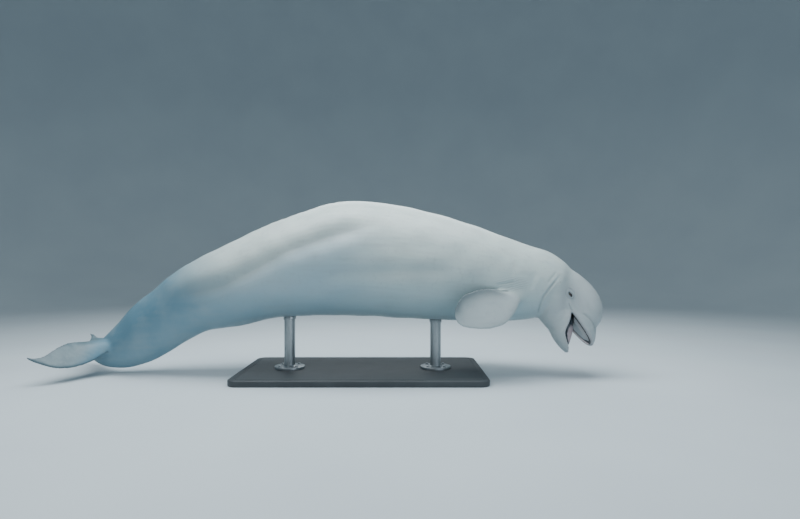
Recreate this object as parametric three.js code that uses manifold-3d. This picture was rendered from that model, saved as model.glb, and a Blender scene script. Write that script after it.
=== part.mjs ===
// A life-size beluga whale, arched nose down with its mouth open, held over a plain two-rod stand.
// Millimetres. +X is the way the whale faces, +Z is up, +Y is its left; the floor is z = 0.
// The skin is lofted whole from named stations, then parted into sub-parts with thin cuts.
import * as THREE from "three";
import { mergeVertices } from "three/addons/utils/BufferGeometryUtils.js";
import Module from "manifold-3d";

const wasm = await Module();
wasm.setup();

// Driving dimensions
const lengthCentre = -21.57; // half way between the fluke tips and the brow, taken off every x at the end
const seam = 0.3; // gap left between touching sub-parts
const bodySides = 36; // points round a body section
const bodySteps = 50; // sections along the body
const headSides = 26;
const bladeSides = 16; // points round a flipper or fluke section
const bladeSteps = 18;
const headRollDeg = 9; // the crown leans to the whale's left
const headYawDeg = 20; // and the beak swings to its right
const headAxisHeight = 70; // the roll axis lies this far over the palate
const mouthCorner = [1452, -77, 370]; // the mid point between the corners of the mouth
const palatePitchDeg = 53.7; // the upper jaw points this far below level
const jawPitchDeg = 91.8; // the lower jaw hangs this far below level
const flukeRollDeg = 2; // the left fluke rides a little high
const flukeYawDeg = 3; // and trails a little
const flukeHub = [-1470, 0, 160];

// Small features of the head, placed as along and up in its frame from the mouth corners. The lids
// are a swell round the eye, and open is the slit between them.
const eye = {
  along: -88,
  up: 54,
  radius: 16,
  sunk: 0.62, // how much of the radius lies under the skin
  lids: [27, 21, 11],
  lidsSunk: 3,
  open: [15, 10, 12],
  openRaised: 6,
};
const ear = { along: -172, up: 40, radii: [3, 2.4, 8] };
const blowhole = {
  along: -95,
  lean: -60, // the crown's skin is met along a line that leans back by this much
  slit: [9, 34, 16],
  heel: [9, 30, 40], // taken from behind the slit, which leaves a crescent
  heelBehind: 9,
  dip: [30, 50, 10],
  dipRaised: 6,
};
const lipGroove = { first: 10, length: 62, up: -2, climb: 5, steps: 8, depth: 5, halfWidth: 3 };
const ridge = { first: 0.43, last: 0.6, steps: 14, height: 13, halfWidth: 34, depth: 50, sunk: 4 };

// Each body station is one section: where the back and the belly lie as [x, z], how wide it is,
// how sharply it is keeled, and how far the section is rolled.
const bodyStations = [
  { back: [-1532, 190], belly: [-1528, 160], halfWidth: 24, keel: 0, roll: 0 },
  { back: [-1488, 184], belly: [-1496, 80], halfWidth: 40, keel: 0.1, roll: 0 },
  { back: [-1440, 231], belly: [-1393, 38], halfWidth: 56, keel: 0.3, roll: 0 },
  { back: [-1361, 313], belly: [-1254, 44], halfWidth: 80, keel: 0.4, roll: 0 },
  { back: [-1260, 424], belly: [-1102, 98], halfWidth: 108, keel: 0.35, roll: 0 },
  { back: [-1147, 514], belly: [-945, 189], halfWidth: 136, keel: 0.28, roll: 0 },
  { back: [-1014, 623], belly: [-793, 268], halfWidth: 168, keel: 0.2, roll: 0 },
  { back: [-837, 739], belly: [-610, 300], halfWidth: 208, keel: 0.12, roll: 0 },
  { back: [-635, 836], belly: [-446, 336], halfWidth: 242, keel: 0.06, roll: 0 },
  { back: [-427, 933], belly: [-294, 360], halfWidth: 276, keel: 0.03, roll: 0 },
  { back: [-206, 1015], belly: [-130, 368], halfWidth: 308, keel: 0, roll: 0 },
  { back: [47, 1083], belly: [60, 369], halfWidth: 338, keel: 0, roll: 0 },
  { back: [331, 1074], belly: [268, 362], halfWidth: 346, keel: -0.03, roll: 0 },
  { back: [615, 1020], belly: [489, 349], halfWidth: 330, keel: -0.03, roll: 0 },
  { back: [868, 944], belly: [710, 341], halfWidth: 298, keel: 0, roll: 0 },
  { back: [1089, 865], belly: [931, 332], halfWidth: 256, keel: 0, roll: 2, shift: 0 },
  { back: [1247, 814], belly: [1121, 335], halfWidth: 218, keel: 0, roll: 6, shift: -3 },
  { back: [1373, 770], belly: [1234, 347], halfWidth: 188, keel: 0, roll: 12, shift: -9 },
  { back: [1474, 700], belly: [1296, 362], halfWidth: 160, keel: 0, roll: 20, shift: -20 },
];
const tailNotch = [-1543, 0, 179];
// The head's sections, as [along the palate, up from it] from the mouth corners. wideAt is where
// between bottom (0) and top (1) the section is widest.
const cheekStations = [
  { top: [-228, 223], bottom: [-82, -146], halfWidth: 146, keel: 0, wideAt: 0.5 },
  { top: [-172, 208], bottom: [-52, -138], halfWidth: 136, keel: 0, wideAt: 0.5 },
  { top: [-118, 176], bottom: [-30, -126], halfWidth: 121, keel: 0, wideAt: 0.48 },
  { top: [-65, 130], bottom: [-13, -102], halfWidth: 101, keel: 0, wideAt: 0.46 },
  { top: [-26, 60], bottom: [-5, -66], halfWidth: 70, keel: 0, wideAt: 0.48 },
];
const cheekEnd = [-7, -10];
const skullStations = [
  { top: [-235, 175], bottom: [-215, -20], halfWidth: 80, keel: 0, wideAt: 0.4 },
  { top: [-170, 206], bottom: [-155, -50], halfWidth: 118, keel: 0, wideAt: 0.38 },
  { top: [-88, 228], bottom: [-80, -60], halfWidth: 120, keel: 0, wideAt: 0.32 },
  { top: [-8, 222], bottom: [-5, -55], halfWidth: 110, keel: 0, wideAt: 0.28 },
  { top: [60, 185], bottom: [60, -35], halfWidth: 100, keel: 0, wideAt: 0.25 },
  { top: [112, 140], bottom: [110, -30], halfWidth: 91, keel: 0, wideAt: 0.28 },
  { top: [156, 98], bottom: [152, -26], halfWidth: 79, keel: 0, wideAt: 0.34 },
  { top: [186, 70], bottom: [183, -22], halfWidth: 66, keel: 0, wideAt: 0.38 },
  { top: [208, 46], bottom: [206, -16], halfWidth: 50, keel: 0, wideAt: 0.42 },
  { top: [223, 25], bottom: [222, -9], halfWidth: 32, keel: 0, wideAt: 0.45 },
];
const beakTip = [232, 7];
const melonStations = [
  { top: [-252, 220], bottom: [-210, 90], halfWidth: 66, keel: 0, wideAt: 0.4 },
  { top: [-168, 250], bottom: [-140, 60], halfWidth: 99, keel: 0, wideAt: 0.4 },
  { top: [-80, 264], bottom: [-70, 50], halfWidth: 113, keel: 0, wideAt: 0.42 },
  { top: [0, 253], bottom: [0, 50], halfWidth: 116, keel: 0, wideAt: 0.42 },
  { top: [60, 228], bottom: [48, 50], halfWidth: 112, keel: 0, wideAt: 0.42 },
  { top: [108, 198], bottom: [88, 55], halfWidth: 101, keel: 0, wideAt: 0.45 },
  { top: [141, 162], bottom: [118, 62], halfWidth: 80, keel: 0, wideAt: 0.45 },
  { top: [158, 124], bottom: [140, 76], halfWidth: 50, keel: 0, wideAt: 0.5 },
];
const melonTip = [163, 100];
// The lower jaw's sections, as [along the jaw, up from its lips].
const jawStations = [
  { top: [-50, 15], bottom: [-62, -125], halfWidth: 62, keel: 0, wideAt: 0.7 },
  { top: [0, 30], bottom: [9, -170], halfWidth: 101, keel: 0, wideAt: 0.8 },
  { top: [45, 30], bottom: [47, -152], halfWidth: 99, keel: 0, wideAt: 0.8 },
  { top: [90, 28], bottom: [91, -114], halfWidth: 90, keel: 0, wideAt: 0.76 },
  { top: [135, 25], bottom: [137, -92], halfWidth: 79, keel: 0, wideAt: 0.72 },
  { top: [178, 20], bottom: [179, -64], halfWidth: 63, keel: 0, wideAt: 0.68 },
  { top: [208, 14], bottom: [209, -38], halfWidth: 44, keel: 0, wideAt: 0.64 },
  { top: [224, 8], bottom: [225, -17], halfWidth: 25, keel: 0, wideAt: 0.6 },
];
const jawTip = [231, -4];
// The line of the lower lips, which dips between the corner and the tip.
const lowerLipLine = [
  [250, 2],
  [212, -8],
  [186, -21],
  [150, -33],
  [112, -37],
  [75, -30],
  [35, -12],
];
// The mouth's own room: a vault in the palate, a trough in the lower jaw, and the gullet behind.
const vaultStations = [
  { top: [-40, 20], bottom: [-40, -30], halfWidth: 72 },
  { top: [30, 16], bottom: [30, -30], halfWidth: 84 },
  { top: [100, 14], bottom: [100, -30], halfWidth: 77 },
  { top: [150, 13], bottom: [150, -30], halfWidth: 64 },
  { top: [190, 11], bottom: [190, -30], halfWidth: 46 },
  { top: [212, 8], bottom: [212, -30], halfWidth: 26 },
];
const troughStations = [
  { top: [-10, 30], bottom: [-10, -50], halfWidth: 78 },
  { top: [45, 30], bottom: [45, -62], halfWidth: 82 },
  { top: [95, 30], bottom: [95, -64], halfWidth: 72 },
  { top: [145, 30], bottom: [145, -56], halfWidth: 58 },
  { top: [185, 30], bottom: [185, -38], halfWidth: 41 },
  { top: [206, 30], bottom: [206, -20], halfWidth: 23 },
];
const gulletStations = [
  { top: [-105, 0], bottom: [-95, -30], halfWidth: 24 },
  { top: [-75, 14], bottom: [-55, -55], halfWidth: 56 },
  { top: [-35, 20], bottom: [-12, -75], halfWidth: 76 },
  { top: [20, 20], bottom: [35, -70], halfWidth: 80 },
];
const tongueStations = [
  { top: [-75, 20], bottom: [-70, -60], halfWidth: 46 },
  { top: [-20, 36], bottom: [-20, -60], halfWidth: 58 },
  { top: [45, 38], bottom: [45, -56], halfWidth: 60 },
  { top: [100, 33], bottom: [100, -52], halfWidth: 52 },
  { top: [145, 21], bottom: [145, -40], halfWidth: 39 },
  { top: [178, 8], bottom: [177, -27], halfWidth: 25 },
];
const tongueTip = [196, -8];
// Teeth are short pegs. under is how far the gum lies below the lip, and taper, swell and unevenness
// say how the row changes along the jaw.
const teeth = {
  perSide: 8,
  radius: 4.2,
  height: 9,
  root: 9,
  first: 45,
  last: 204,
  insideLip: 26,
  leanIn: 0.12,
  upperGum: 12,
  under: 6,
  taper: 0.25,
  shortest: 0.75,
  swell: 0.3,
  unevenness: 0.06,
};
const gape = { behindCorner: -3, reach: 420, width: 400 };
const roomFullness = -0.35; // the keel of the mouth's room, which makes its sections boxy

// Flippers and flukes are blades: a front edge and a rear edge point for each station.
const flipperStations = [
  { front: [1140, -165, 470], rear: [1048, -165, 532], thick: 62, camber: 0 },
  { front: [1144, -232, 462], rear: [1036, -240, 540], thick: 58, camber: 0 },
  { front: [1098, -272, 404], rear: [998, -264, 545], thick: 50, camber: 4 },
  { front: [1038, -303, 349], rear: [948, -288, 550], thick: 42, camber: 8 },
  { front: [952, -328, 324], rear: [893, -312, 549], thick: 34, camber: 12 },
  { front: [881, -342, 322], rear: [840, -338, 537], thick: 28, camber: 15 },
  { front: [808, -352, 330], rear: [789, -364, 518], thick: 20, camber: 13 },
  { front: [764, -360, 348], rear: [755, -386, 482], thick: 13, camber: 8 },
  { front: [742, -368, 378], rear: [738, -390, 442], thick: 8, camber: 3 },
];
const flipperTip = [734, -381, 410];
const flukeStations = [
  { front: [-1300, 0, 200], rear: [-1541, 0, 193], thick: 60, camber: 0 },
  { front: [-1335, -52, 186], rear: [-1549, -50, 206], thick: 52, camber: 0 },
  { front: [-1404, -103, 136], rear: [-1566, -103, 218], thick: 40, camber: 0 },
  { front: [-1462, -160, 104], rear: [-1590, -160, 222], thick: 31, camber: 2 },
  { front: [-1500, -220, 94], rear: [-1607, -218, 214], thick: 25, camber: 4 },
  { front: [-1540, -276, 95], rear: [-1626, -272, 196], thick: 18, camber: 4 },
  { front: [-1592, -323, 109], rear: [-1650, -316, 176], thick: 13, camber: 3 },
  { front: [-1650, -353, 140], rear: [-1674, -347, 170], thick: 8, camber: 1 },
];
const flukeTip = [-1700, -370, 181];

// Where the skin is parted: each cut runs from a point on the back to one on the belly.
const cuts = {
  shoulder: { back: [1310, 790], belly: [1178, 341] },
  chest: { back: [560, 1030], belly: [440, 352] },
  waist: { back: [-90, 1050], belly: [-40, 369] },
  loin: { back: [-735, 790], belly: [-528, 320] },
  tailRoot: { back: [-1390, 283], belly: [-1290, 40] },
};
// Both cuts of the head are given in its own frame: the nape cut from the crown to the throat, and
// the cut that frees the lower jaw from just inside the gape to the throat.
const napeCut = { crown: [-277, 0, 231], throat: [-97, 0, -152] };
const jawHinge = { from: [6, 0, -2.3], to: [-135, 0, -204] };
const flukeRootWidth = 80; // the flukes leave the tail this far from the mid plane
const flipperRoot = { point: [1090, 262, 498], normal: [0.1, 0.93, -0.35] }; // left side

const stand = {
  base: { x: 190, length: 1500, width: 800, height: 36, corner: 60, bevel: 6 },
  rodX: { rear: -270, front: 650 },
  rodRadius: 34,
  rodReach: 500, // the rods are cut to the belly, which is lower than this
  flangeRadius: 95,
  flangeHeight: 14,
  boltCircle: 72,
  boltRadius: 9,
  boltHeight: 8,
  boltSunk: 3,
};

const radians = THREE.MathUtils.degToRad;
const leftward = new THREE.Vector3(0, 1, 0);

// A solid from any closed geometry: only positions count, and shared corners are merged.
function solidFrom(geometry) {
  const bare = new THREE.BufferGeometry();
  bare.setAttribute("position", geometry.getAttribute("position").clone());
  if (geometry.index) bare.setIndex(geometry.index.clone());
  const merged = mergeVertices(bare, 1e-3);
  const made = new wasm.Manifold(
    new wasm.Mesh({
      numProp: 3,
      vertProperties: new Float32Array(merged.getAttribute("position").array),
      triVerts: new Uint32Array(merged.index.array),
    }),
  );
  if (made.volume() > 0) return made;
  const turned = new Uint32Array(merged.index.array).reverse();
  return new wasm.Manifold(
    new wasm.Mesh({
      numProp: 3,
      vertProperties: new Float32Array(merged.getAttribute("position").array),
      triVerts: turned,
    }),
  );
}

// A closed solid through rings of points, with each end drawn to its own pole.
function loft(rings, startPole, endPole) {
  const sides = rings[0].length;
  const points = [startPole, ...rings.flat(), endPole];
  const last = points.length - 1;
  const faces = [];
  for (let j = 0; j < sides; j++) {
    const k = (j + 1) % sides;
    faces.push(0, 1 + k, 1 + j);
    const end = 1 + (rings.length - 1) * sides;
    faces.push(last, end + j, end + k);
  }
  for (let i = 0; i + 1 < rings.length; i++)
    for (let j = 0; j < sides; j++) {
      const k = (j + 1) % sides;
      const a = 1 + i * sides + j;
      const b = 1 + i * sides + k;
      const c = a + sides;
      const d = b + sides;
      if ((i + j) % 2) faces.push(a, b, d, a, d, c);
      else faces.push(a, b, c, b, d, c);
    }
  const geometry = new THREE.BufferGeometry().setFromPoints(points);
  geometry.setIndex(faces);
  return solidFrom(geometry);
}

// A smooth run of 3-part values through the stations, read at any place from 0 to 1.
function runOf(stations, pick) {
  const values = stations.map((s) => new THREE.Vector3(...pick(s)));
  return new THREE.CatmullRomCurve3(values, false, "catmullrom", 0.5);
}

function middle(a, b, share) {
  return a.clone().lerp(b, share);
}

// One body or head section. top and bottom are its ends in the mid plane, side is the way to its left.
function sectionRing(top, bottom, side, size, wideAt, sides) {
  const centre = middle(bottom, top, wideAt);
  const ring = [];
  for (let j = 0; j < sides; j++) {
    const angle = (2 * Math.PI * j) / sides;
    const rise = Math.cos(angle);
    const reach = Math.sin(angle);
    const out = size.halfWidth * Math.sign(reach) * Math.abs(reach) ** (1 + size.keel);
    const end = rise > 0 ? top : bottom;
    const p = middle(centre, end, Math.abs(rise));
    ring.push(p.addScaledVector(side, out));
  }
  return ring;
}

// The frame of a jaw: x runs out along it and z is up from its lips. Both jaws share the head's turn.
function jawFrame(pitchDeg) {
  const between = (palatePitchDeg + jawPitchDeg) / 2;
  return new THREE.Matrix4()
    .makeTranslation(...mouthCorner)
    .multiply(new THREE.Matrix4().makeRotationY(radians(between)))
    .multiply(new THREE.Matrix4().makeRotationZ(radians(-headYawDeg)))
    .multiply(new THREE.Matrix4().makeTranslation(0, 0, headAxisHeight))
    .multiply(new THREE.Matrix4().makeRotationX(radians(-headRollDeg)))
    .multiply(new THREE.Matrix4().makeTranslation(0, 0, -headAxisHeight))
    .multiply(new THREE.Matrix4().makeRotationY(radians(pitchDeg - between)));
}

const headFrame = jawFrame(palatePitchDeg);
const lowerFrame = jawFrame(jawPitchDeg);

// A solid from sections given in a jaw's frame.
function headLoft(stations, frame, sides, steps, endPole) {
  const tops = runOf(stations, (s) => [s.top[0], 0, s.top[1]]);
  const bottoms = runOf(stations, (s) => [s.bottom[0], 0, s.bottom[1]]);
  const sizes = runOf(stations, (s) => [s.halfWidth, s.keel ?? 0, s.wideAt ?? 0.5]);
  const rings = [];
  for (let i = 0; i <= steps; i++) {
    const t = i / steps;
    const size = sizes.getPoint(t);
    const ring = sectionRing(
      tops.getPoint(t),
      bottoms.getPoint(t),
      leftward,
      { halfWidth: size.x, keel: size.y },
      size.z,
      sides,
    );
    rings.push(ring.map((p) => p.applyMatrix4(frame)));
  }
  const start = middle(tops.getPoint(0), bottoms.getPoint(0), 0.5).applyMatrix4(frame);
  const end = endPole
    ? new THREE.Vector3(endPole[0], 0, endPole[1])
    : middle(tops.getPoint(1), bottoms.getPoint(1), 0.5);
  return loft(rings, start, end.applyMatrix4(frame));
}

function inHead([along, up]) {
  return new THREE.Vector3(along, 0, up).applyMatrix4(headFrame);
}

// The ring of a body station, rolled about its own middle and shifted to the side.
function stationRing({ back, belly, halfWidth, keel, roll, shift = 0 }) {
  const top = new THREE.Vector3(back[0], 0, back[1]);
  const bottom = new THREE.Vector3(belly[0], 0, belly[1]);
  const centre = middle(top, bottom, 0.5);
  const axis = new THREE.Vector3(0, 1, 0).cross(top.clone().sub(bottom)).normalize();
  const ring = sectionRing(top, bottom, leftward, { halfWidth, keel }, 0.5, bodySides);
  for (const p of ring) {
    p.sub(centre).applyAxisAngle(axis, radians(-roll)).add(centre);
    p.y += shift;
  }
  return ring;
}

function cheekRing({ top, bottom, halfWidth, keel, wideAt }) {
  const [high, low] = [top, bottom].map(([x, z]) => new THREE.Vector3(x, 0, z));
  const ring = sectionRing(high, low, leftward, { halfWidth, keel }, wideAt, bodySides);
  return ring.map((p) => p.applyMatrix4(headFrame));
}

// The body runs from the notch between the flukes to the cheeks, smooth along every line of points.
const stationRings = [...bodyStations.map(stationRing), ...cheekStations.map(cheekRing)];
const bodyLines = Array.from({ length: bodySides }, (_, j) => {
  const line = stationRings.map((ring) => ring[j]);
  return new THREE.CatmullRomCurve3(line, false, "catmullrom", 0.5);
});
const [backLine, bellyLine] = [bodyLines[0], bodyLines[bodySides / 2]];

function makeBody() {
  const rings = [];
  for (let i = 0; i <= bodySteps; i++)
    rings.push(bodyLines.map((line) => line.getPoint(i / bodySteps)));
  return loft(rings, new THREE.Vector3(...tailNotch), inHead(cheekEnd));
}

// The low dorsal ridge stands in place of a fin, along the middle of the back.
function makeRidge() {
  const { first, last, steps, height, halfWidth, depth, sunk } = ridge;
  const rings = [];
  for (let i = 0; i <= steps; i++) {
    const share = i / steps;
    const t = first + (last - first) * share;
    const back = backLine.getPoint(t);
    const up = back.clone().sub(bellyLine.getPoint(t)).normalize();
    const swell = Math.sin(Math.PI * share ** 0.7);
    const top = back.clone().addScaledVector(up, height * swell - sunk * (1 - swell));
    const bottom = back.clone().addScaledVector(up, -depth);
    const size = { halfWidth: halfWidth * (0.5 + 0.5 * swell), keel: 0.6 };
    rings.push(sectionRing(top, bottom, leftward, size, 0.5, 12));
  }
  const ends = [rings[0], rings[steps]].map((r) => middle(r[0], r[6], 0.5));
  return loft(rings, ...ends);
}

// A blade section between its edges: round in front, thin behind, cupped by its camber.
function bladeRing(front, rear, spanward, thick, camber) {
  const chord = rear.clone().sub(front);
  const face = chord.clone().cross(spanward).normalize();
  const ring = [];
  for (let j = 0; j < bladeSides; j++) {
    const angle = (2 * Math.PI * j) / bladeSides;
    const along = (1 - Math.cos(angle)) / 2;
    const fullness = 1.45 * Math.sqrt(along) * (1 - along) + 0.07 * along;
    const half = Math.sign(Math.sin(angle)) * (thick / 2) * fullness * 1.25;
    const lift = -4 * camber * along * (1 - along);
    ring.push(front.clone().addScaledVector(chord, along).addScaledVector(face, half + lift));
  }
  return ring;
}

function blade(stations, tip) {
  const steps = bladeSteps;
  const fronts = runOf(stations, (s) => s.front);
  const rears = runOf(stations, (s) => s.rear);
  const sizes = runOf(stations, (s) => [s.thick, s.camber, 0]);
  const centre = (t) => middle(fronts.getPoint(t), rears.getPoint(t), 0.5);
  const end = new THREE.Vector3(...tip);
  const rings = [];
  for (let i = 0; i <= steps; i++) {
    const t = i / steps;
    const ahead = i < steps ? centre((i + 0.5) / steps) : end.clone();
    const spanward = ahead.sub(centre(Math.max(0, (i - 0.5) / steps)));
    const size = sizes.getPoint(t);
    rings.push(bladeRing(fronts.getPoint(t), rears.getPoint(t), spanward, size.x, size.y));
  }
  return loft(rings, centre(0), end);
}

function mirrored(solid) {
  return solid.mirror([0, 1, 0]);
}

function placed(solid, matrix) {
  return solid.transform(matrix.elements);
}

function makeFlukes() {
  const near = blade(flukeStations, flukeTip);
  const both = near.add(mirrored(near));
  const turn = new THREE.Matrix4()
    .makeTranslation(...flukeHub)
    .multiply(new THREE.Matrix4().makeRotationZ(radians(flukeYawDeg)))
    .multiply(new THREE.Matrix4().makeRotationX(radians(flukeRollDeg)))
    .multiply(new THREE.Matrix4().makeTranslation(...flukeHub.map((v) => -v)));
  return placed(both, turn);
}

// The open gape lies between the upper lips' plane and the line of the lower lips.
function makeGape() {
  const { behindCorner, reach, width } = gape;
  const open = radians(jawPitchDeg - palatePitchDeg);
  const outline = new THREE.Shape();
  outline.moveTo(behindCorner, 0);
  outline.lineTo(reach, 0);
  outline.lineTo(reach * Math.cos(open), -reach * Math.sin(open));
  for (const [along, up] of lowerLipLine)
    outline.lineTo(
      along * Math.cos(open) + up * Math.sin(open),
      up * Math.cos(open) - along * Math.sin(open),
    );
  const wedge = new THREE.ExtrudeGeometry(outline, { depth: width, bevelEnabled: false });
  wedge.translate(0, 0, -width / 2);
  wedge.rotateX(Math.PI / 2);
  wedge.applyMatrix4(headFrame);
  return solidFrom(wedge);
}

function grown(stations, extra) {
  return stations.map((s) => ({
    top: [s.top[0], s.top[1] + extra],
    bottom: [s.bottom[0], s.bottom[1] - extra],
    halfWidth: s.halfWidth + extra,
    keel: roomFullness,
  }));
}

function makeMouthRoom(extra) {
  const vault = headLoft(grown(vaultStations, extra), headFrame, 18, 10);
  const trough = headLoft(grown(troughStations, extra), lowerFrame, 18, 10);
  const gullet = headLoft(grown(gulletStations, extra), headFrame, 18, 7);
  return vault.add(trough).add(gullet);
}

// A tooth is a blunt peg, sunk into the gum.
function makeTooth(length) {
  const { radius, height, root } = teeth;
  const tall = height * length;
  const profile = [
    [0, -root],
    [radius, -root],
    [radius * 0.95, tall * 0.45],
    [radius * 0.6, tall * 0.9],
    [0, tall],
  ].map(([x, y]) => new THREE.Vector2(x, y));
  const peg = new THREE.LatheGeometry(profile, 6);
  peg.rotateX(Math.PI / 2);
  return peg;
}

function toothRow(stations, roof, frame, pointsUp) {
  const widths = runOf(stations, (s) => [s.top[0], s.halfWidth, 0]);
  const widthAt = (along) => {
    const [start, end] = [stations[0].top[0], stations.at(-1).top[0]];
    let t = (along - start) / (end - start);
    for (let k = 0; k < 6; k++) t += (along - widths.getPoint(t).x) / (end - start);
    return widths.getPoint(t).y;
  };
  const pegs = [];
  for (let i = 0; i < teeth.perSide; i++) {
    const share = i / (teeth.perSide - 1);
    const along = teeth.first + (teeth.last - teeth.first) * share;
    const across = widthAt(along) - teeth.insideLip * (1 - teeth.taper * share);
    const swell = teeth.swell * Math.sin(Math.PI * share);
    const length = teeth.shortest + swell + teeth.unevenness * Math.cos(5 * i);
    for (const sideways of [-1, 1]) {
      const peg = makeTooth(length);
      if (!pointsUp) peg.rotateX(Math.PI);
      peg.rotateX(sideways * (pointsUp ? -teeth.leanIn : teeth.leanIn));
      peg.translate(along, sideways * across, roof(along));
      peg.applyMatrix4(frame);
      pegs.push(solidFrom(peg));
    }
  }
  return wasm.Manifold.union(pegs);
}

// How high the lower gum stands at a place along the jaw: a little under the lip.
function lowerGum(along) {
  const i = lowerLipLine.findIndex((p) => p[0] <= along);
  const [ahead, behind] = [lowerLipLine[i - 1], lowerLipLine[i]];
  const share = (along - behind[0]) / (ahead[0] - behind[0]);
  return behind[1] + (ahead[1] - behind[1]) * share - teeth.under;
}

const outside = 500; // further out than any part of the head, in its own frame
const eyeSegments = [16, 10];

// A point of the skin, found by looking in from outside along a line of the head's frame.
function onSkin(geometry, from, towards) {
  const start = new THREE.Vector3(...from).applyMatrix4(headFrame);
  const goal = new THREE.Vector3(...towards).applyMatrix4(headFrame);
  const way = goal.sub(start).normalize();
  const skin = new THREE.Mesh(geometry, new THREE.MeshBasicMaterial({ side: THREE.DoubleSide }));
  const hit = new THREE.Raycaster(start, way).intersectObject(skin)[0];
  return { point: hit.point, inward: way };
}

function geometryOf(solid) {
  const mesh = solid.getMesh();
  const flat = new Float32Array(mesh.numVert * 3);
  for (let i = 0; i < mesh.numVert; i++)
    flat.set(mesh.vertProperties.subarray(i * mesh.numProp, i * mesh.numProp + 3), i * 3);
  const geometry = new THREE.BufferGeometry();
  geometry.setAttribute("position", new THREE.BufferAttribute(flat, 3));
  geometry.setIndex(new THREE.BufferAttribute(new Uint32Array(mesh.triVerts), 1));
  return geometry;
}

// An ellipsoid with its x along the head's axis and its z out of the skin.
function pebble(place, radii, segments) {
  const ball = new THREE.SphereGeometry(1, ...segments);
  ball.scale(...radii);
  const out = place.inward.clone().negate();
  const along = new THREE.Vector3(1, 0, 0).transformDirection(headFrame);
  along.addScaledVector(out, -along.dot(out)).normalize();
  const across = out.clone().cross(along);
  ball.applyMatrix4(new THREE.Matrix4().makeBasis(along, across, out));
  ball.translate(...place.point);
  return solidFrom(ball);
}

function shifted(place, out) {
  return { ...place, point: place.point.clone().addScaledVector(place.inward, -out) };
}

// One eye: its ball, the swell of its lids, and the room that both leave in the head.
function makeEye(skin, sideways) {
  const place = onSkin(skin, [eye.along, sideways * outside, eye.up], [eye.along, 0, eye.up]);
  const centre = shifted(place, -eye.radius * eye.sunk);
  const room = eye.radius + seam;
  return {
    ball: pebble(centre, [eye.radius, eye.radius, eye.radius], eyeSegments),
    socket: pebble(centre, [room, room, room], eyeSegments),
    lids: pebble(shifted(place, -eye.lidsSunk), eye.lids, [20, 12]),
    slit: pebble(shifted(place, eye.openRaised), eye.open, [16, 8]),
  };
}

// The blowhole: a shallow dip on the crown with a crescent slit across it, horns pointing back.
function makeBlowhole(skin) {
  const { along, lean } = blowhole;
  const place = onSkin(skin, [along + lean, 0, outside], [along, 0, 0]);
  const slit = pebble(place, blowhole.slit, [16, 8]);
  const dip = pebble(shifted(place, blowhole.dipRaised), blowhole.dip, [18, 8]);
  const back = new THREE.Vector3(-1, 0, 0).transformDirection(headFrame);
  const behind = { ...place, point: place.point.clone() };
  behind.point.addScaledVector(back, blowhole.heelBehind);
  return slit.subtract(pebble(behind, blowhole.heel, [14, 8])).add(dip);
}

// A shallow groove runs back from each mouth corner.
function makeGroove(skin, sideways) {
  const { first, length, climb, steps, depth, halfWidth } = lipGroove;
  const rings = [];
  for (let i = 0; i <= steps; i++) {
    const share = i / steps;
    const along = first - length * share;
    const up = lipGroove.up + climb * share * share;
    const { point, inward } = onSkin(skin, [along, sideways * outside, up], [along, 0, up]);
    const fade = 1.15 - share;
    const normal = inward.clone().multiplyScalar(-depth * fade);
    const across = new THREE.Vector3(0, 0, 1).transformDirection(headFrame);
    across.multiplyScalar(halfWidth * fade);
    rings.push(
      Array.from({ length: 6 }, (_, j) => {
        const angle = (j * Math.PI) / 3;
        const p = point.clone().addScaledVector(normal, Math.cos(angle));
        return p.addScaledVector(across, Math.sin(angle));
      }),
    );
  }
  const ends = [rings[0], rings[steps]].map((r) => middle(r[0], r[3], 0.5));
  return loft(rings, ...ends);
}

// The mouth's grooves, and a pinhole ear behind each eye.
function makeCreases(skin) {
  const cutters = [];
  for (const sideways of [-1, 1]) {
    const { along, up } = ear;
    const pinhole = onSkin(skin, [along, sideways * outside, up], [along, 0, up]);
    cutters.push(makeGroove(skin, sideways), pebble(pinhole, ear.radii, [8, 6]));
  }
  return wasm.Manifold.union(cutters);
}

// Stand: a low slab, two rods, and a bolted flange under each rod.
function makeBase() {
  const { x, length, width, height, corner, bevel } = stand.base;
  const [a, b] = [length / 2 - bevel, width / 2 - bevel];
  const outline = new THREE.Shape();
  outline.moveTo(-a + corner, -b);
  outline.lineTo(a - corner, -b);
  outline.absarc(a - corner, -b + corner, corner, -Math.PI / 2, 0);
  outline.lineTo(a, b - corner);
  outline.absarc(a - corner, b - corner, corner, 0, Math.PI / 2);
  outline.lineTo(-a + corner, b);
  outline.absarc(-a + corner, b - corner, corner, Math.PI / 2, Math.PI);
  outline.lineTo(-a, -b + corner);
  outline.absarc(-a + corner, -b + corner, corner, Math.PI, 1.5 * Math.PI);
  const slab = new THREE.ExtrudeGeometry(outline, {
    depth: height - 2 * bevel,
    bevelThickness: bevel,
    bevelSize: bevel,
    bevelSegments: 2,
    curveSegments: 6,
  });
  slab.translate(x, 0, bevel);
  return solidFrom(slab);
}

function upright(radius, bottom, top, sides, x, y = 0) {
  const rod = new THREE.CylinderGeometry(radius, radius, top - bottom, sides);
  rod.rotateX(Math.PI / 2);
  rod.translate(x, y, (top + bottom) / 2);
  return solidFrom(rod);
}

function makeRod(x, skin) {
  const bottom = stand.base.height + stand.flangeHeight + 2 * seam;
  const rod = upright(stand.rodRadius, bottom, stand.rodReach, 24, x);
  return rod.subtract(skin.translate([0, 0, -seam]));
}

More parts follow.
